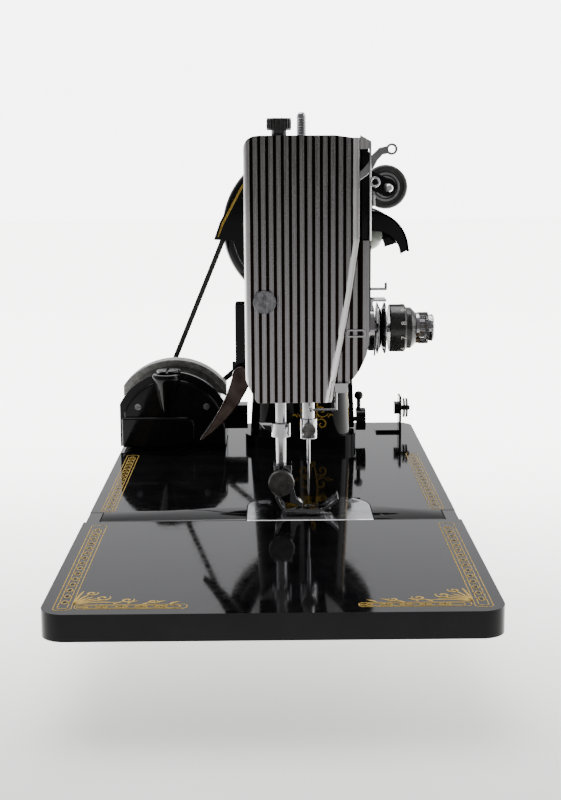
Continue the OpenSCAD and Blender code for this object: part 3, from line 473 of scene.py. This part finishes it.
# Each outer corner: leaves fanned from one root, four scrolls, and a trail of short strokes
fan_x, fan_y, leaf_length, leaf_dip = -124, 78, 17, 5.5
trail_y, trail_gap = 62, 5.5
for half, word in ((1, "rear"), (-1, "front")):
    fan = []
    for k in range(6):
        lean_out = math.radians(8 + 15 * k)
        tip = leaf_length - leaf_dip * math.sin(math.radians(36 * k))
        fan.append([(fan_x + tip * t * math.cos(lean_out) + 1.6 * math.sin(3.1 * t),
                     half * (fan_y - tip * t * math.sin(lean_out))) for t in [i / 9 for i in range(10)]])
    for u, v, size in ((-116, 67, 3.2), (-110, 72, 2.6), (-119, 57, 2.8), (-121, 47, 2.0)):
        fan.append([(a, half * b) for a, b in scroll(u, v, size, 1.3, 200)])
    for k in range(5):
        fan.append([(fan_x + 1.2 * math.sin(2.4 * k) + 3.2 * t,
                     half * (trail_y - trail_gap * k - 3.5 * t * t)) for t in [i / 7 for i in range(8)]])
    corner = ribbon(f"gold_fan_leaf_{word}", fan, 0.95, on_top)
    dress(corner, gold, "leaf")


pillar_low, pillar_rise, pillar_round = 6.5, 106, 13


def on_pillar(u, v, lift):
    return at(165.93 + (v - pillar_low) * 2 / pillar_rise - lift, u, v)


flourish_y, bead_r = -24, 1.3
flourish = []
for way in (1, -1):
    for v, size, turns, start in ((22, 4.2, 1.25, 250), (31, 3.4, 1.1, 70),
                                  (14, 3.6, 1.2, 90), (38, 2.5, 1.0, 260)):
        flourish.append([(flourish_y + way * a, b) for a, b in scroll(5.2, v, size, turns, start)])
    flourish.append([(flourish_y + way * 3.4 * math.sin(math.pi * t) * (1 - 0.4 * t), 8 + 40 * t)
                     for t in [i / 24 for i in range(25)]])
    flourish.append([(flourish_y + way * (9 + 3 * t), 18 + 6 * t - 5 * t * t)
                     for t in [i / 10 for i in range(11)]])
for v in (10, 44, 48):
    flourish.append([(flourish_y + bead_r * math.cos(math.tau * t), v + bead_r * math.sin(math.tau * t))
                     for t in [i / 14 for i in range(15)]])
dress(ribbon("gold_scroll_pillar", flourish, 0.9, on_pillar), gold, "frame")


def on_hood(u, v, lift):
    return at(196 - lift, u, v)


hood_line = [(9.0, 163.2), (16.6, 152.6), (28.6, 130.4), (31.4, 122.6)]
dress(ribbon("gold_line_hood", [hood_line], 1.3, on_hood), gold, "frame")


def on_corner(u, v, lift):
    """Round front corner of the pillar, u degrees round from the needle side."""
    share = (v - pillar_low) / pillar_rise
    radius = pillar_round - share + lift
    x = 166 + 2 * share + pillar_round - share
    y = -47 + 5 * share + pillar_round - share
    return at(x - radius * math.cos(math.radians(u)), y - radius * math.sin(math.radians(u)), v)


corner_line = [(66, 12 + 5 * i) for i in range(17)]
dress(ribbon("gold_line_pillar", [corner_line], 3.2, on_corner), gold, "frame")

# ---------------------------------------------------------------- faceplate
# Pressed and plated cover of the head. Ribs run down its whole height, a step slants
# from the take-up slot to the bottom, and past the step the ribs stand further back.
# Painted shade darkens the grooves, and a painted highlight runs along the step's edge,
# the rolled rim and the left margin.
bright_rib = Finish("ribbed_chrome", (0.29, 0.285, 0.29), 0.12, metallic=1)
bright_rib.rough(bright_rib.noise(900, 4, bright_rib.stretch((1, 1, 0.05))), 0.09, 0.26)
# The base colour is painted light read from a mesh attribute: 0 gives a painted highlight, 0.15 the plain
# ribs, and near 1 painted shade, almost black, deep in the grooves.
painted_shade_and_highlight = bright_rib.nodes.new("ShaderNodeAttribute")
painted_shade_and_highlight.attribute_name = "painted_shade_and_highlight"
bright_rib.tint(painted_shade_and_highlight.outputs["Fac"], [(0.0, (0.66, 0.65, 0.65)), (0.15, (0.27, 0.26, 0.265)),
                                        (0.45, (0.15, 0.135, 0.135)), (1.0, (0.008, 0.005, 0.004))])
bright_rib.bump(bright_rib.noise(1500, 3, bright_rib.stretch((1, 1, 0.04))), 0.00002, 0.4)

groove_start, rib_pitch = 7.9, 3.6
step_w, step_d = 3.3, 2.3
# One rib and its groove: millimetres from the groove's lower edge, and depth
rib_profile = [(0.0, 0.08), (0.16, 0.62), (0.75, 0.72), (1.34, 0.62), (1.5, 0.08), (1.62, 0.0), (1.95, 0.0),
               (2.05, 0.09), (2.15, 0.0), (2.98, 0.0), (3.08, 0.09), (3.18, 0.0), (3.48, 0.0)]
low_edge = [(12.3, 66.2), (7.0, 55.2), (-25.0, 55.2), (-30.6, 58.3), (-36.8, 63.8), (-42.0, 70.5),
            (-45.2, 78.0), (-46.6, 87.0), (-47.0, 104.0)]
high_edge = [(12.3, 174.0), (10.6, 178.4), (5.0, 180.0), (-30.0, 180.0), (-42.0, 178.3), (-45.0, 174.5),
             (-47.0, 170.5)]


def read_edge(edge, y):
    """Height of an outline at y, straight between its points."""
    for (y0, z0), (y1, z1) in zip(edge, edge[1:]):
        if y1 <= y <= y0:
            return z0 + (z1 - z0) * (y0 - y) / (y0 - y1)
    return edge[0][1] if y > edge[0][0] else edge[-1][1]


step_top, step_low = (-38.4, 131.5), (-25.2, 55.2)


def step_z(y):
    """Height of the step at y, painted bright along its edge: it leaves the slot steeply and leans over lower
    down.
    """
    share = (y - step_top[0]) / (step_low[0] - step_top[0])
    share = (-0.75 + math.sqrt(0.5625 + share)) / 0.5
    return step_top[1] - share * (step_top[1] - step_low[1])


columns = [(12.3, 2.6), (12.2, 2.0), (11.6, 1.2), (10.7, 0.5), (9.9, 0.12), (9.55, 0.0)]
for i in range(14):
    base = groove_start - i * rib_pitch
    columns += [(base + 1.5 - s, d) for s, d in rib_profile if base + 1.5 - s > step_top[0] + 0.05]
columns.append((step_top[0], 0.0))
face_x, back_x, rows = 8.0, 11.0, 30
plate_work = bmesh.new()
painted_light_layer = plate_work.verts.layers.float.new("painted_shade_and_highlight")


def sheet(stations):
    """Joins a list of stations, each a list of (y, z, depth, painted light value), with faces."""
    grid = []
    for station in stations:
        grid.append([])
        for y, z, d, painted_light_value in station:
            corner = plate_work.verts.new(at(face_x + d, y, z))
            corner[painted_light_layer] = painted_light_value
            grid[-1].append(corner)
    for a, b in zip(grid, grid[1:]):
        for k in range(len(a) - 1):
            plate_work.faces.new((a[k], a[k + 1], b[k + 1], b[k]))


def spread(z0, z1):
    """Evenly spaced heights from z0 to z1."""
    return [z0 + (z1 - z0) * k / rows for k in range(rows + 1)]


def shade_of(depth):
    """Painted shade for a depth below the ribs: strongest deep in the grooves."""
    return 1.0 if depth > 0.55 else (0.4 if depth > 0.05 else 0.15)


main = []
for y, d in columns:
    z0 = step_z(y) if y < step_low[0] else read_edge(low_edge, y)
    # Painted shade by depth on the ribs; the left margin gets a fixed painted highlight.
    painted_light_value = shade_of(d) if y < 9.5 else 0.09
    main.append([(y, z, d, painted_light_value) for z in spread(z0, read_edge(high_edge, y))])
sheet(main)
# The step: its upper edge meets the ribs' cut ends, its lower edge the ribs beyond
cut = [(y, step_z(y), d) for y, d in columns if y < step_low[0]][::-1]
cut = [(step_top[0], z, 0.0) for z in spread(read_edge(high_edge, step_top[0]), step_top[1])][:-1] + cut
cut.append((step_low[0], step_low[1], 0.0))
step = []
# The step's values give a painted highlight along its upper edge that fades to painted shade at its foot.
for y, z, d in cut:
    step.append([(y, z, d, 0.0), (y - 0.25, z, 0.1, 0.0), (y - 1.2, z, 0.5, 0.0), (y - 2.1, z, 1.0, 0.1),
                 (y - 2.9, z, 1.5, 0.3), (y - step_w, z, step_d, 0.8)])
sheet(step)
# Beyond the step the ribs run on, further back, from the bottom to the take-up lever's slot
cheek_y = step_top[0] - step_w
far_columns = [(y - step_w, d) for y, d in columns if y < step_low[0]]
far_columns += [(cheek_y - s, d) for s, d in rib_profile + [(4.6, 0.0)]]
beyond = []
for y, d in far_columns:
    z1 = step_z(y + step_w) if y > cheek_y else step_top[1]
    z0 = read_edge(low_edge, y)
    if z1 - z0 > 0.4:
        beyond.append([(y, z, step_d + 0.8 * d, shade_of(d)) for z in spread(z0, z1)])
sheet(beyond)
# Above and beside the slot: a smooth cheek and a thin rolled edge, both painted bright as a highlight
slot_top = 173.6
sheet([[(y, z, step_d - 0.5 + 0.5 * (cheek_y - y) / 5.3, 0.05)
        for z in (slot_top, 174.2, 177, 180 + (y - cheek_y) * 0.55)]
       for y in (cheek_y, -43.0, -44.6, -46.0, -46.8, -47.0)])
sheet([[(y, z, d, 0.0) for z in (step_top[1], 145, 160, slot_top)]
       for y, d in ((-45.9, 2.5), (-46.2, 2.0), (-46.7, 2.0), (-47, 2.4))])
bmesh.ops.remove_doubles(plate_work, verts=plate_work.verts, dist=0.001 * mm)
rim = [edge for edge in plate_work.edges if edge.is_boundary]
turned_in = bmesh.ops.extrude_edge_only(plate_work, edges=rim)["geom"]
for corner in turned_in:
    if isinstance(corner, bmesh.types.BMVert):
        corner.co.x = at(back_x, 0, 0).x
bmesh.ops.holes_fill(plate_work, edges=[edge for edge in plate_work.edges if edge.is_boundary], sides=0)
bmesh.ops.recalc_face_normals(plate_work, faces=plate_work.faces)
face_mesh = bpy.data.meshes.new("faceplate_ribs")
plate_work.to_mesh(face_mesh)
plate_work.free()
face = link_mesh("faceplate_ribs", face_mesh)
smooth(face.data, 50)
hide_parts("faceplate")
dress(face, bright_rib, "frame")


def on_recess(u, v, lift):
    return at(10.15 - lift, u, v)


# A bright oblong ring set in the recess, through which the thread passes
slot_y, slot_z, slot_half, slot_r = -40, 88, 2.9, 1.5
slot_path = [(slot_y + (slot_half if math.cos(a) > 0 else -slot_half) + slot_r * math.cos(a),
              slot_z + slot_r * math.sin(a)) for a in [math.tau * k / 24 + 0.1 for k in range(25)]]
dress(ribbon("faceplate_guide_slot", [slot_path], 0.7, on_recess, 0.9), chrome, "frame")

# ---------------------------------------------------------------- needle plate and screws
# Polished D-shaped plate let into the bed with two flat screws, and the round-headed screw
# that holds the faceplate.
dress(eased("needle_plate_polished", "needle_plate", 0.3), chrome, "frame")
aged_steel = Finish("aged_steel", (0.17, 0.17, 0.18), 0.3, metallic=1)
aged_steel.tint(aged_steel.noise(420, 5), [(0.3, (0.1, 0.1, 0.11)), (0.7, (0.24, 0.24, 0.255))])
aged_steel.rough(aged_steel.noise(800, 4), 0.2, 0.42)
dress(eased("cover_screw_heads", "cover_screws", 0.45), aged_steel, "frame")

# ---------------------------------------------------------------- thread guides
# Bent wire and sheet guides that lead the thread from the pin to the needle, plated.
dress(eased("thread_guides_bent", "thread_guides", 0.16), chrome, "frame")

# ---------------------------------------------------------------- shafts, gears and hook
# The works inside the arm and under the bed: ground shafts in bronze bushings, cut gears
# and levers left dark from the hardening, and the polished hook with its bobbin case.
dark_steel = Finish("hardened_steel", (0.14, 0.135, 0.13), 0.34, metallic=1)
dark_steel.tint(dark_steel.noise(260, 4), [(0.3, (0.09, 0.085, 0.08)), (0.7, (0.19, 0.185, 0.18))])
dark_steel.rough(dark_steel.noise(700, 4), 0.24, 0.44)
bronze = Finish("turned_bronze", (0.5, 0.33, 0.13), 0.3, metallic=1)
bronze.tint(bronze.noise(180, 4), [(0.3, (0.4, 0.25, 0.09)), (0.7, (0.56, 0.38, 0.16))])
bronze.rough(bronze.noise(800, 3, bronze.stretch((8, 1, 1))), 0.22, 0.4)
for node in ("main_shaft", "vertical_shaft", "hook_shaft", "bobbin_case_base", "rotary_hook", "motor_shaft"):
    cover(node, ground_steel)
for node in ("needle_crank", "main_bevel_gear", "vertical_gears", "hook_gear", "feed_dog", "feed_fork",
             "needle_link"):
    cover(node, dark_steel)
for node in ("bobbin_case", "bobbin", "bobbin_latch"):
    cover(node, chrome)
cover("arm_bushings", bronze)

# ---------------------------------------------------------------- handwheel
# Cast wheel in black enamel with a groove for the belt, and the plated clutch knob that
# frees it from the shaft for winding, milled round its edge.
dress(eased("handwheel_cast", "handwheel", 0.8), enamel, "shaft_train")
dress(eased("clutch_knob_turned", "clutch_knob", 0.5), chrome, "clutch")


def rib_ring(name, ribs, radius, length, thick, middle, along, finish, body):
    """A knurl: fine ribs around a round head whose middle and axis are given."""
    ring = Pattern(name, Ribs=ribs, Radius=(radius - thick / 2) * mm, Length=length * mm, Thick=thick * mm)
    circle = ring.add("GeometryNodeMeshCircle", Vertices="Ribs", Radius="Radius")
    rod = ring.add("GeometryNodeMeshCylinder", Vertices=6, Radius="Thick", Depth="Length")
    piece = ring.grow(ring.add("GeometryNodeInstanceOnPoints", Points=circle, Instance=rod), finish)
    settle(piece, Vector(along).to_track_quat("Z", "Y").to_matrix().to_4x4(), Matrix.Translation(at(*middle)))
    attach(piece, body)


axis_y, axis_z = -17.6, 126
rib_ring("clutch_knob_milling", 72, 13, 4.2, 0.34, (240.9, axis_y, axis_z), (1, 0, 0), chrome,
         "clutch")

# ---------------------------------------------------------------- needle bar and take-up
# Ground and plated needle bar with its clamp and needle, and the bent take-up lever whose
# eye stands out through the slot of the faceplate.
for node in ("needle_bar", "needle"):
    cover(node, chrome)
dress(eased("needle_clamp_milled", "needle_clamp", 0.3), chrome, "needle_slider")
dress(eased("take_up_lever_bent", "take_up_lever", 0.3), chrome, "take_up")

# ---------------------------------------------------------------- presser bar and foot
# Plated bar with the hinged foot held by a dark thumb screw, the thread cutter above it,
# its spring, the polished lifter behind the head, painted near black as shade, and the black pressure screw
# on top.
cover("presser_bar", chrome)
wire = Finish("drawn_wire", (0.42, 0.41, 0.42), 0.25, metallic=1)
wire.rough(wire.noise(900, 3), 0.2, 0.36)
for node in ("presser_spring", "check_spring"):
    cover(node, wire)
dress(eased("presser_foot_bent", "presser_foot", 0.25), chrome, "presser")
dress(eased("thread_cutter_bent", "thread_cutter", 0.2), chrome, "presser")
dress(eased("foot_thumb_screw", "presser_foot_screw", 0.4), dark_steel, "presser")
rib_ring("foot_thumb_screw_knurl", 46, 6.1, 2.8, 0.24, (8.2, -4.3, 16.3), (1, 0, 0), dark_steel,
         "presser")
# Painted shade: the lifter's plating is given a near-black copy of chrome.
chrome_painted_dark = Finish("chrome_painted_shade", (0.03, 0.022, 0.019), 0.1, metallic=1)
chrome_painted_dark.tint(chrome_painted_dark.noise(140, 4), [(0.3, (0.018, 0.012, 0.01)), (0.7, (0.05, 0.038, 0.033))])
chrome_painted_dark.rough(chrome_painted_dark.noise(500, 4), 0.07, 0.2)
dress(eased("lifter_lever_polished", "lifter_lever", 0.7), chrome_painted_dark, "lifter")
moulding = Finish("black_moulding", (0.01, 0.01, 0.01), 0.25)
moulding.tint(moulding.noise(300, 4), [(0.3, (0.006, 0.006, 0.006)), (0.7, (0.018, 0.018, 0.018))])
moulding.rough(moulding.noise(600, 4), 0.16, 0.36)
moulding.bump(moulding.noise(900), 0.00003, 0.3)
dress(eased("pressure_screw_head", "pressure_screw", 0.4), moulding, "pressure_knob")
rib_ring("pressure_screw_knurl", 44, 5.7, 3.6, 0.26, (17, -4.3, 185.3), (0, 0, 1), moulding,
         "pressure_knob")

# ---------------------------------------------------------------- thread tension
# Two plated discs on a stud under a guard, a black dial with figures for the setting, and
# a milled thumb nut that turns with it.
dress(eased("tension_discs_pressed", "tension_discs", 0.2), chrome, "frame")
dress(eased("tension_dial_moulded", "tension_dial", 0.5), moulding, "tension_knob")
dress(eased("tension_nut_turned", "tension_nut", 0.4), chrome, "tension_knob")
stud_x, stud_z, dial_r = 30, 88, 11.5
rib_ring("tension_nut_milling", 40, 7.5, 4.6, 0.3, (stud_x, -73.6, stud_z), (0, -1, 0), chrome,
         "tension_knob")
figure_paint = Finish("figure_paint", (0.75, 0.74, 0.7), 0.5)
figure_paint.tint(figure_paint.noise(800), [(0.3, (0.68, 0.67, 0.63)), (0.7, (0.8, 0.79, 0.75))])
figures = bmesh.new()
for k in range(10):
    letter = bpy.data.curves.new("figure", "FONT")
    letter.body = str(k)
    letter.size = 3.6 * mm
    letter.extrude = 0.1 * mm
    letter.align_x = letter.align_y = "CENTER"
    shape = bpy.data.objects.new("figure", letter)
    bpy.context.scene.collection.objects.link(shape)
    flat = bpy.data.meshes.new_from_object(shape.evaluated_get(bpy.context.evaluated_depsgraph_get()))
    bpy.data.objects.remove(shape)
    spin = math.tau * k / 10
    outward_way = Vector((math.sin(spin), 0, math.cos(spin)))
    along_way = Vector((math.cos(spin), 0, -math.sin(spin)))
    place = Matrix((along_way, Vector((0, 1, 0)), outward_way)).transposed().to_4x4()
    rim = at(stud_x, -63.6, stud_z) + outward_way * (dial_r - 0.02) * mm
    flat.transform(Matrix.Translation(rim) @ place)
    figures.from_mesh(flat)
bmesh.ops.remove_doubles(figures, verts=figures.verts, dist=0.001 * mm)
figure_mesh = bpy.data.meshes.new("tension_dial_figures")
figures.to_mesh(figure_mesh)
figures.free()
dress(link_mesh("tension_dial_figures", figure_mesh), figure_paint, "tension_knob")

# ---------------------------------------------------------------- spool pin
# Turned pin pressed into the arm, with a coarse thread that grips the spool.
cover("spool_pin", chrome)
thread = Pattern("spool_pin_thread", Turns=8.0, Radius=2.3 * mm, Height=11.6 * mm, Wire=0.42 * mm)
coil = thread.add("GeometryNodeCurveSpiral", Resolution=28, Rotations="Turns", Start_Radius="Radius",
                  End_Radius="Radius", Height="Height")
round_wire = thread.add("GeometryNodeCurvePrimitiveCircle", Resolution=6, Radius="Wire")
wound = thread.add("GeometryNodeCurveToMesh", Curve=coil, Profile_Curve=round_wire, Fill_Caps=True)
pin_thread = thread.grow(wound, chrome)
settle(pin_thread, Matrix.Translation(at(150, axis_y, 179.6)))
outward(pin_thread)
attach(pin_thread, "frame")

# ---------------------------------------------------------------- lamp
# Enamelled shade over a small bulb in its socket, with a push switch on top.


def extruded(work, outline, x0, x1):
    """Adds a closed outline of (y, z) points, drawn out along X, to a mesh being made."""
    near = [work.verts.new(at(x0, y, z)) for y, z in outline]
    far = [work.verts.new(at(x1, y, z)) for y, z in outline]
    work.faces.new(near)
    work.faces.new(far[::-1])
    for k in range(len(outline)):
        work.faces.new((near[k - 1], near[k], far[k], far[k - 1]))


def arc(y, z, radius, a0, a1, n=20):
    """Points around a middle, from one angle to the other, measured from -Y up."""
    turns = [math.radians(a0 + (a1 - a0) * k / n) for k in range(n + 1)]
    return [(y - radius * math.cos(a), z + radius * math.sin(a)) for a in turns]


shade_y, shade_z, shade_r, shade_wall = -50, 123.5, 19.6, 1.1
shade_start, shade_end, wall_thick = 62, 120, 1.2
# The bent sheet, then a cut end wall at either end, then the bead along its lower edge
shell = arc(shade_y, shade_z, shade_r, 2, 110, 30) + arc(shade_y, shade_z, shade_r - shade_wall, 110, 2, 30)
shade = bmesh.new()
extruded(shade, shell, shade_start, shade_end)
for x0, opening_r in ((shade_start, 12.4), (shade_end - wall_thick, 9)):
    wall_outline = arc(shade_y, shade_z, shade_r - 0.3, 0, 110, 30) + arc(-53, 120.6, opening_r, 96, 4, 20)
    extruded(shade, wall_outline, x0, x0 + wall_thick)
extruded(shade, arc(-69.2, 123.4, 0.8, 0, 337.5, 15), shade_start, shade_end)
bmesh.ops.recalc_face_normals(shade, faces=shade.faces)
shade_mesh = bpy.data.meshes.new("lamp_shade_pressed")
shade.to_mesh(shade_mesh)
shade.free()
shade_piece = link_mesh("lamp_shade_pressed", shade_mesh)
smooth(shade_mesh, 40)
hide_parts("lamp_shade")
dress(shade_piece, enamel, "frame")
cover("lamp_socket", ground_steel)
bulb_glass = Finish("bulb_glass", (0.72, 0.8, 0.68), 0.07)
bulb_glass.shader.inputs["Transmission Weight"].default_value = 0.55
bulb_glass.tint(bulb_glass.noise(120), [(0.3, (0.66, 0.75, 0.6)), (0.7, (0.8, 0.86, 0.76))])
cover("lamp_bulb", bulb_glass)
dress(eased("lamp_switch_key", "lamp_switch", 0.5), moulding, "switch_key")

# ---------------------------------------------------------------- stitch regulator
# Enamelled plate screwed to the pillar, and the lever on it whose ball end sets the
# length of the stitch.
dress(eased("stitch_plate_cast", "stitch_plate", 0.4), enamel, "frame")
dress(eased("stitch_lever_bent", "stitch_lever", 0.3), enamel, "stitch_arm")

# ---------------------------------------------------------------- bobbin winder
# Enamelled swing frame with a steel spindle and a rubber-tyred wheel that runs on the
# handwheel, and the bracket on the bed that tightens the thread.
dress(eased("winder_frame_cast", "winder_arm", 0.5), enamel, "winder_frame")


def turned(name, profile, start, way=(1, 0, 0), sides=72):
    """A shape turned about an axis from start; the profile holds (along, radius) in mm."""
    points, faces, rings = [], [], []
    lathe = Vector(way).to_track_quat("X", "Y").to_matrix()
    for along, radius in profile:
        count = sides if radius else 1
        rings.append(range(len(points), len(points) + count))
        for k in range(count):
            spin = math.tau * k / sides
            offset = Vector((along, radius * math.cos(spin), radius * math.sin(spin)))
            points.append(at(*start) + lathe @ offset * mm)
    for a, b in zip(rings, rings[1:]):
        for k in range(sides):
            corners = [a[k % len(a)], a[(k + 1) % len(a)], b[(k + 1) % len(b)], b[k % len(b)]]
            faces.append(tuple(dict.fromkeys(corners)))
    piece = mesh_from(name, points, faces)
    outward(piece)
    smooth(piece.data, 35)
    return piece


tyre_rubber = Finish("tyre_rubber", (0.015, 0.015, 0.015), 0.6)
tyre_rubber.tint(tyre_rubber.noise(400), [(0.3, (0.008, 0.008, 0.008)), (0.7, (0.024, 0.023, 0.022))])
tyre_rubber.bump(tyre_rubber.noise(2200), 0.00006)
reel = (218, -70.5, 151)
tyre_profile = [(0.6, 9.2), (0.6, 10.4), (0.1, 11.2), (0.3, 12.4), (1.4, 13.3), (4, 13.4), (6.6, 13.3),
                (7.7, 12.4), (7.9, 11.2), (7.4, 10.4), (7.4, 9.2), (0.6, 9.2)]
tyre = turned("winder_tyre", tyre_profile, reel)
dress(tyre, tyre_rubber, "winder_reel")
disc_profile = [(1.6, 0), (1.6, 3.4), (2.2, 4), (2.2, 6.6), (1.2, 7.4), (1.2, 8.8), (1.8, 9.3),
                (6.2, 9.3), (6.8, 8.8), (6.8, 7.4), (5.8, 6.6), (5.8, 4), (6.4, 3.4), (6.4, 0)]
disc = turned("winder_disc", disc_profile, reel)
dress(disc, chrome, "winder_reel")
spindle_profile = [(-26, 0), (-26, 1.6), (-25.3, 2.3), (-14.2, 2.3), (-13.9, 2.0), (-13.5, 2.3),
                   (7.4, 2.3), (8, 1.8), (8, 0)]
spindle = turned("winder_spindle", spindle_profile, reel)
dress(spindle, ground_steel, "winder_reel")
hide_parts("winder_wheel")
dress(eased("winder_tension_bracket", "winder_tension", 0.4), enamel, "frame")

# ---------------------------------------------------------------- motor
# Series motor behind the pillar: enamelled end caps bolted either side of a stack of bare
# laminations, with a moulded cap over the brush, and a steel pulley on its shaft.
dress(eased("motor_caps_cast", "motor_end_caps", 1.6, steps=4), enamel, "frame")
stack = Finish("laminations", (0.3, 0.3, 0.29), 0.42, metallic=0.85)
sheets = stack.nodes.new("ShaderNodeTexWave")
sheets.bands_direction = "X"
sheets.inputs["Scale"].default_value = 420
sheets.inputs["Distortion"].default_value = 0.6
stack.links.new(stack.place, sheets.inputs["Vector"])
stack.tint(sheets.outputs["Fac"], [(0.1, (0.12, 0.12, 0.115)), (0.6, (0.42, 0.42, 0.4))])
stack.rough(stack.noise(500), 0.34, 0.55)
stack.bump(sheets.outputs["Fac"], 0.00012, 0.6)
dress(eased("motor_stack", "motor_core", 0.3), stack, "frame")
dress(eased("motor_brush_cap", "brush_caps", 0.4), moulding, "frame")


def cast_block(name, outline, x0, x1, ease):
    """An enamelled block with eased edges, on the needle side of the motor."""
    work = bmesh.new()
    extruded(work, outline, x0, x1)
    bmesh.ops.recalc_face_normals(work, faces=work.faces)
    mesh = bpy.data.meshes.new(name)
    work.to_mesh(mesh)
    work.free()
    block = link_mesh(name, mesh)
    smooth(mesh)
    edge = block.modifiers.new("ease", "BEVEL")
    edge.width, edge.segments, edge.harden_normals = ease * mm, 4, True
    plain_mesh(block)
    dress(block, enamel, "frame")


cap_y, cap_z, face_r, face_far, face_low = 58.5, 11, 31, 86.8, 2.4
face_outline = [(min(y, face_far), z) for y, z in arc(cap_y, cap_z, face_r, 0, 180, 24)]
face_outline += [(face_far, face_low), (cap_y - face_r, face_low)]
cast_block("motor_cap_face", face_outline, 162.4, 166, 1.5)
panel_y, panel_far, panel_low, panel_high, panel_r = 50.5, 88, 2.2, 20, 5
panel = arc(panel_y, panel_high - panel_r, panel_r, 0, 90, 6)
panel += [(panel_far, panel_high), (panel_far, panel_low)]
panel += arc(panel_y, panel_low + panel_r, panel_r, 270, 360, 6)
cast_block("motor_cap_panel", panel, 159.6, 163.4, 1.3)
boss_profile = [(0, 0), (0, 2.6), (2.5, 3.6), (21, 7.6), (22.5, 8.5), (25, 8.7), (26.2, 8.0), (26.4, 6.2)]
boss = turned("motor_brush_boss", boss_profile, (165.2, 61.5, 18.6), (0, 0, 1))
dress(boss, enamel, "frame")


def slotted_screws(name, radius, head, count, step, middle, along, finish, body):
    """A row of slotted screw heads about a middle point, facing along."""
    row = Pattern(name, Screws=count, Radius=radius * mm, Head=head * mm, Step=step * mm)
    body_shape = row.add("GeometryNodeMeshCylinder", Vertices=28, Radius="Radius", Depth="Head")
    cut_size = row.point(x=row.sum("Radius", 3.0, "MULTIPLY"), y=row.sum("Radius", 0.28, "MULTIPLY"),
                         z="Head")
    cutter = row.add("GeometryNodeMeshCube", Size=cut_size)
    raised = row.add("GeometryNodeTransform", Geometry=cutter,
                     Translation=row.point(z=row.sum("Head", 0.6, "MULTIPLY")))
    cut_head = row.add("GeometryNodeMeshBoolean", Mesh_1=body_shape, Mesh_2=raised)
    first = row.point(x=row.sum("Step", (1 - count) / 2, "MULTIPLY"))
    spots = row.add("GeometryNodeMeshLine", Count="Screws", Offset=row.point(x="Step"), Start_Location=first)
    piece = row.grow(row.add("GeometryNodeInstanceOnPoints", Points=spots, Instance=cut_head), finish)
    settle(piece, Vector(along).to_track_quat("Z", "Y").to_matrix().to_4x4(), Matrix.Translation(at(*middle)))
    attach(piece, body)


slotted_screws("motor_bolts", 1.9, 1.2, 2, 40, (162.2, 58.5, 26), (-1, 0, 0), aged_steel, "frame")
slotted_screws("needle_clamp_screw", 3.2, 1.4, 1, 1, (6.6, axis_y, 42.3), (-1, 0, 0), dark_steel,
               "needle_slider")
slotted_screws("stitch_plate_screws", 1.5, 0.8, 1, 1, (190, -49.5, 42), (0, -1, 0), chrome, "frame")

# ---------------------------------------------------------------- belt and terminal block
# Moulded drive belt from the motor's pulley to the handwheel, and the three-pin block
# where the machine's lead plugs in.
belt_rubber = Finish("belt_rubber", (0.012, 0.012, 0.012), 0.55)
belt_rubber.tint(belt_rubber.noise(500), [(0.3, (0.007, 0.007, 0.007)), (0.7, (0.02, 0.02, 0.02))])
belt_rubber.bump(belt_rubber.noise(1800), 0.00008)
cover("drive_belt", belt_rubber)
dress(eased("terminal_block_moulded", "terminal_block", 0.4), moulding, "frame")

bpy.context.view_layer.update()
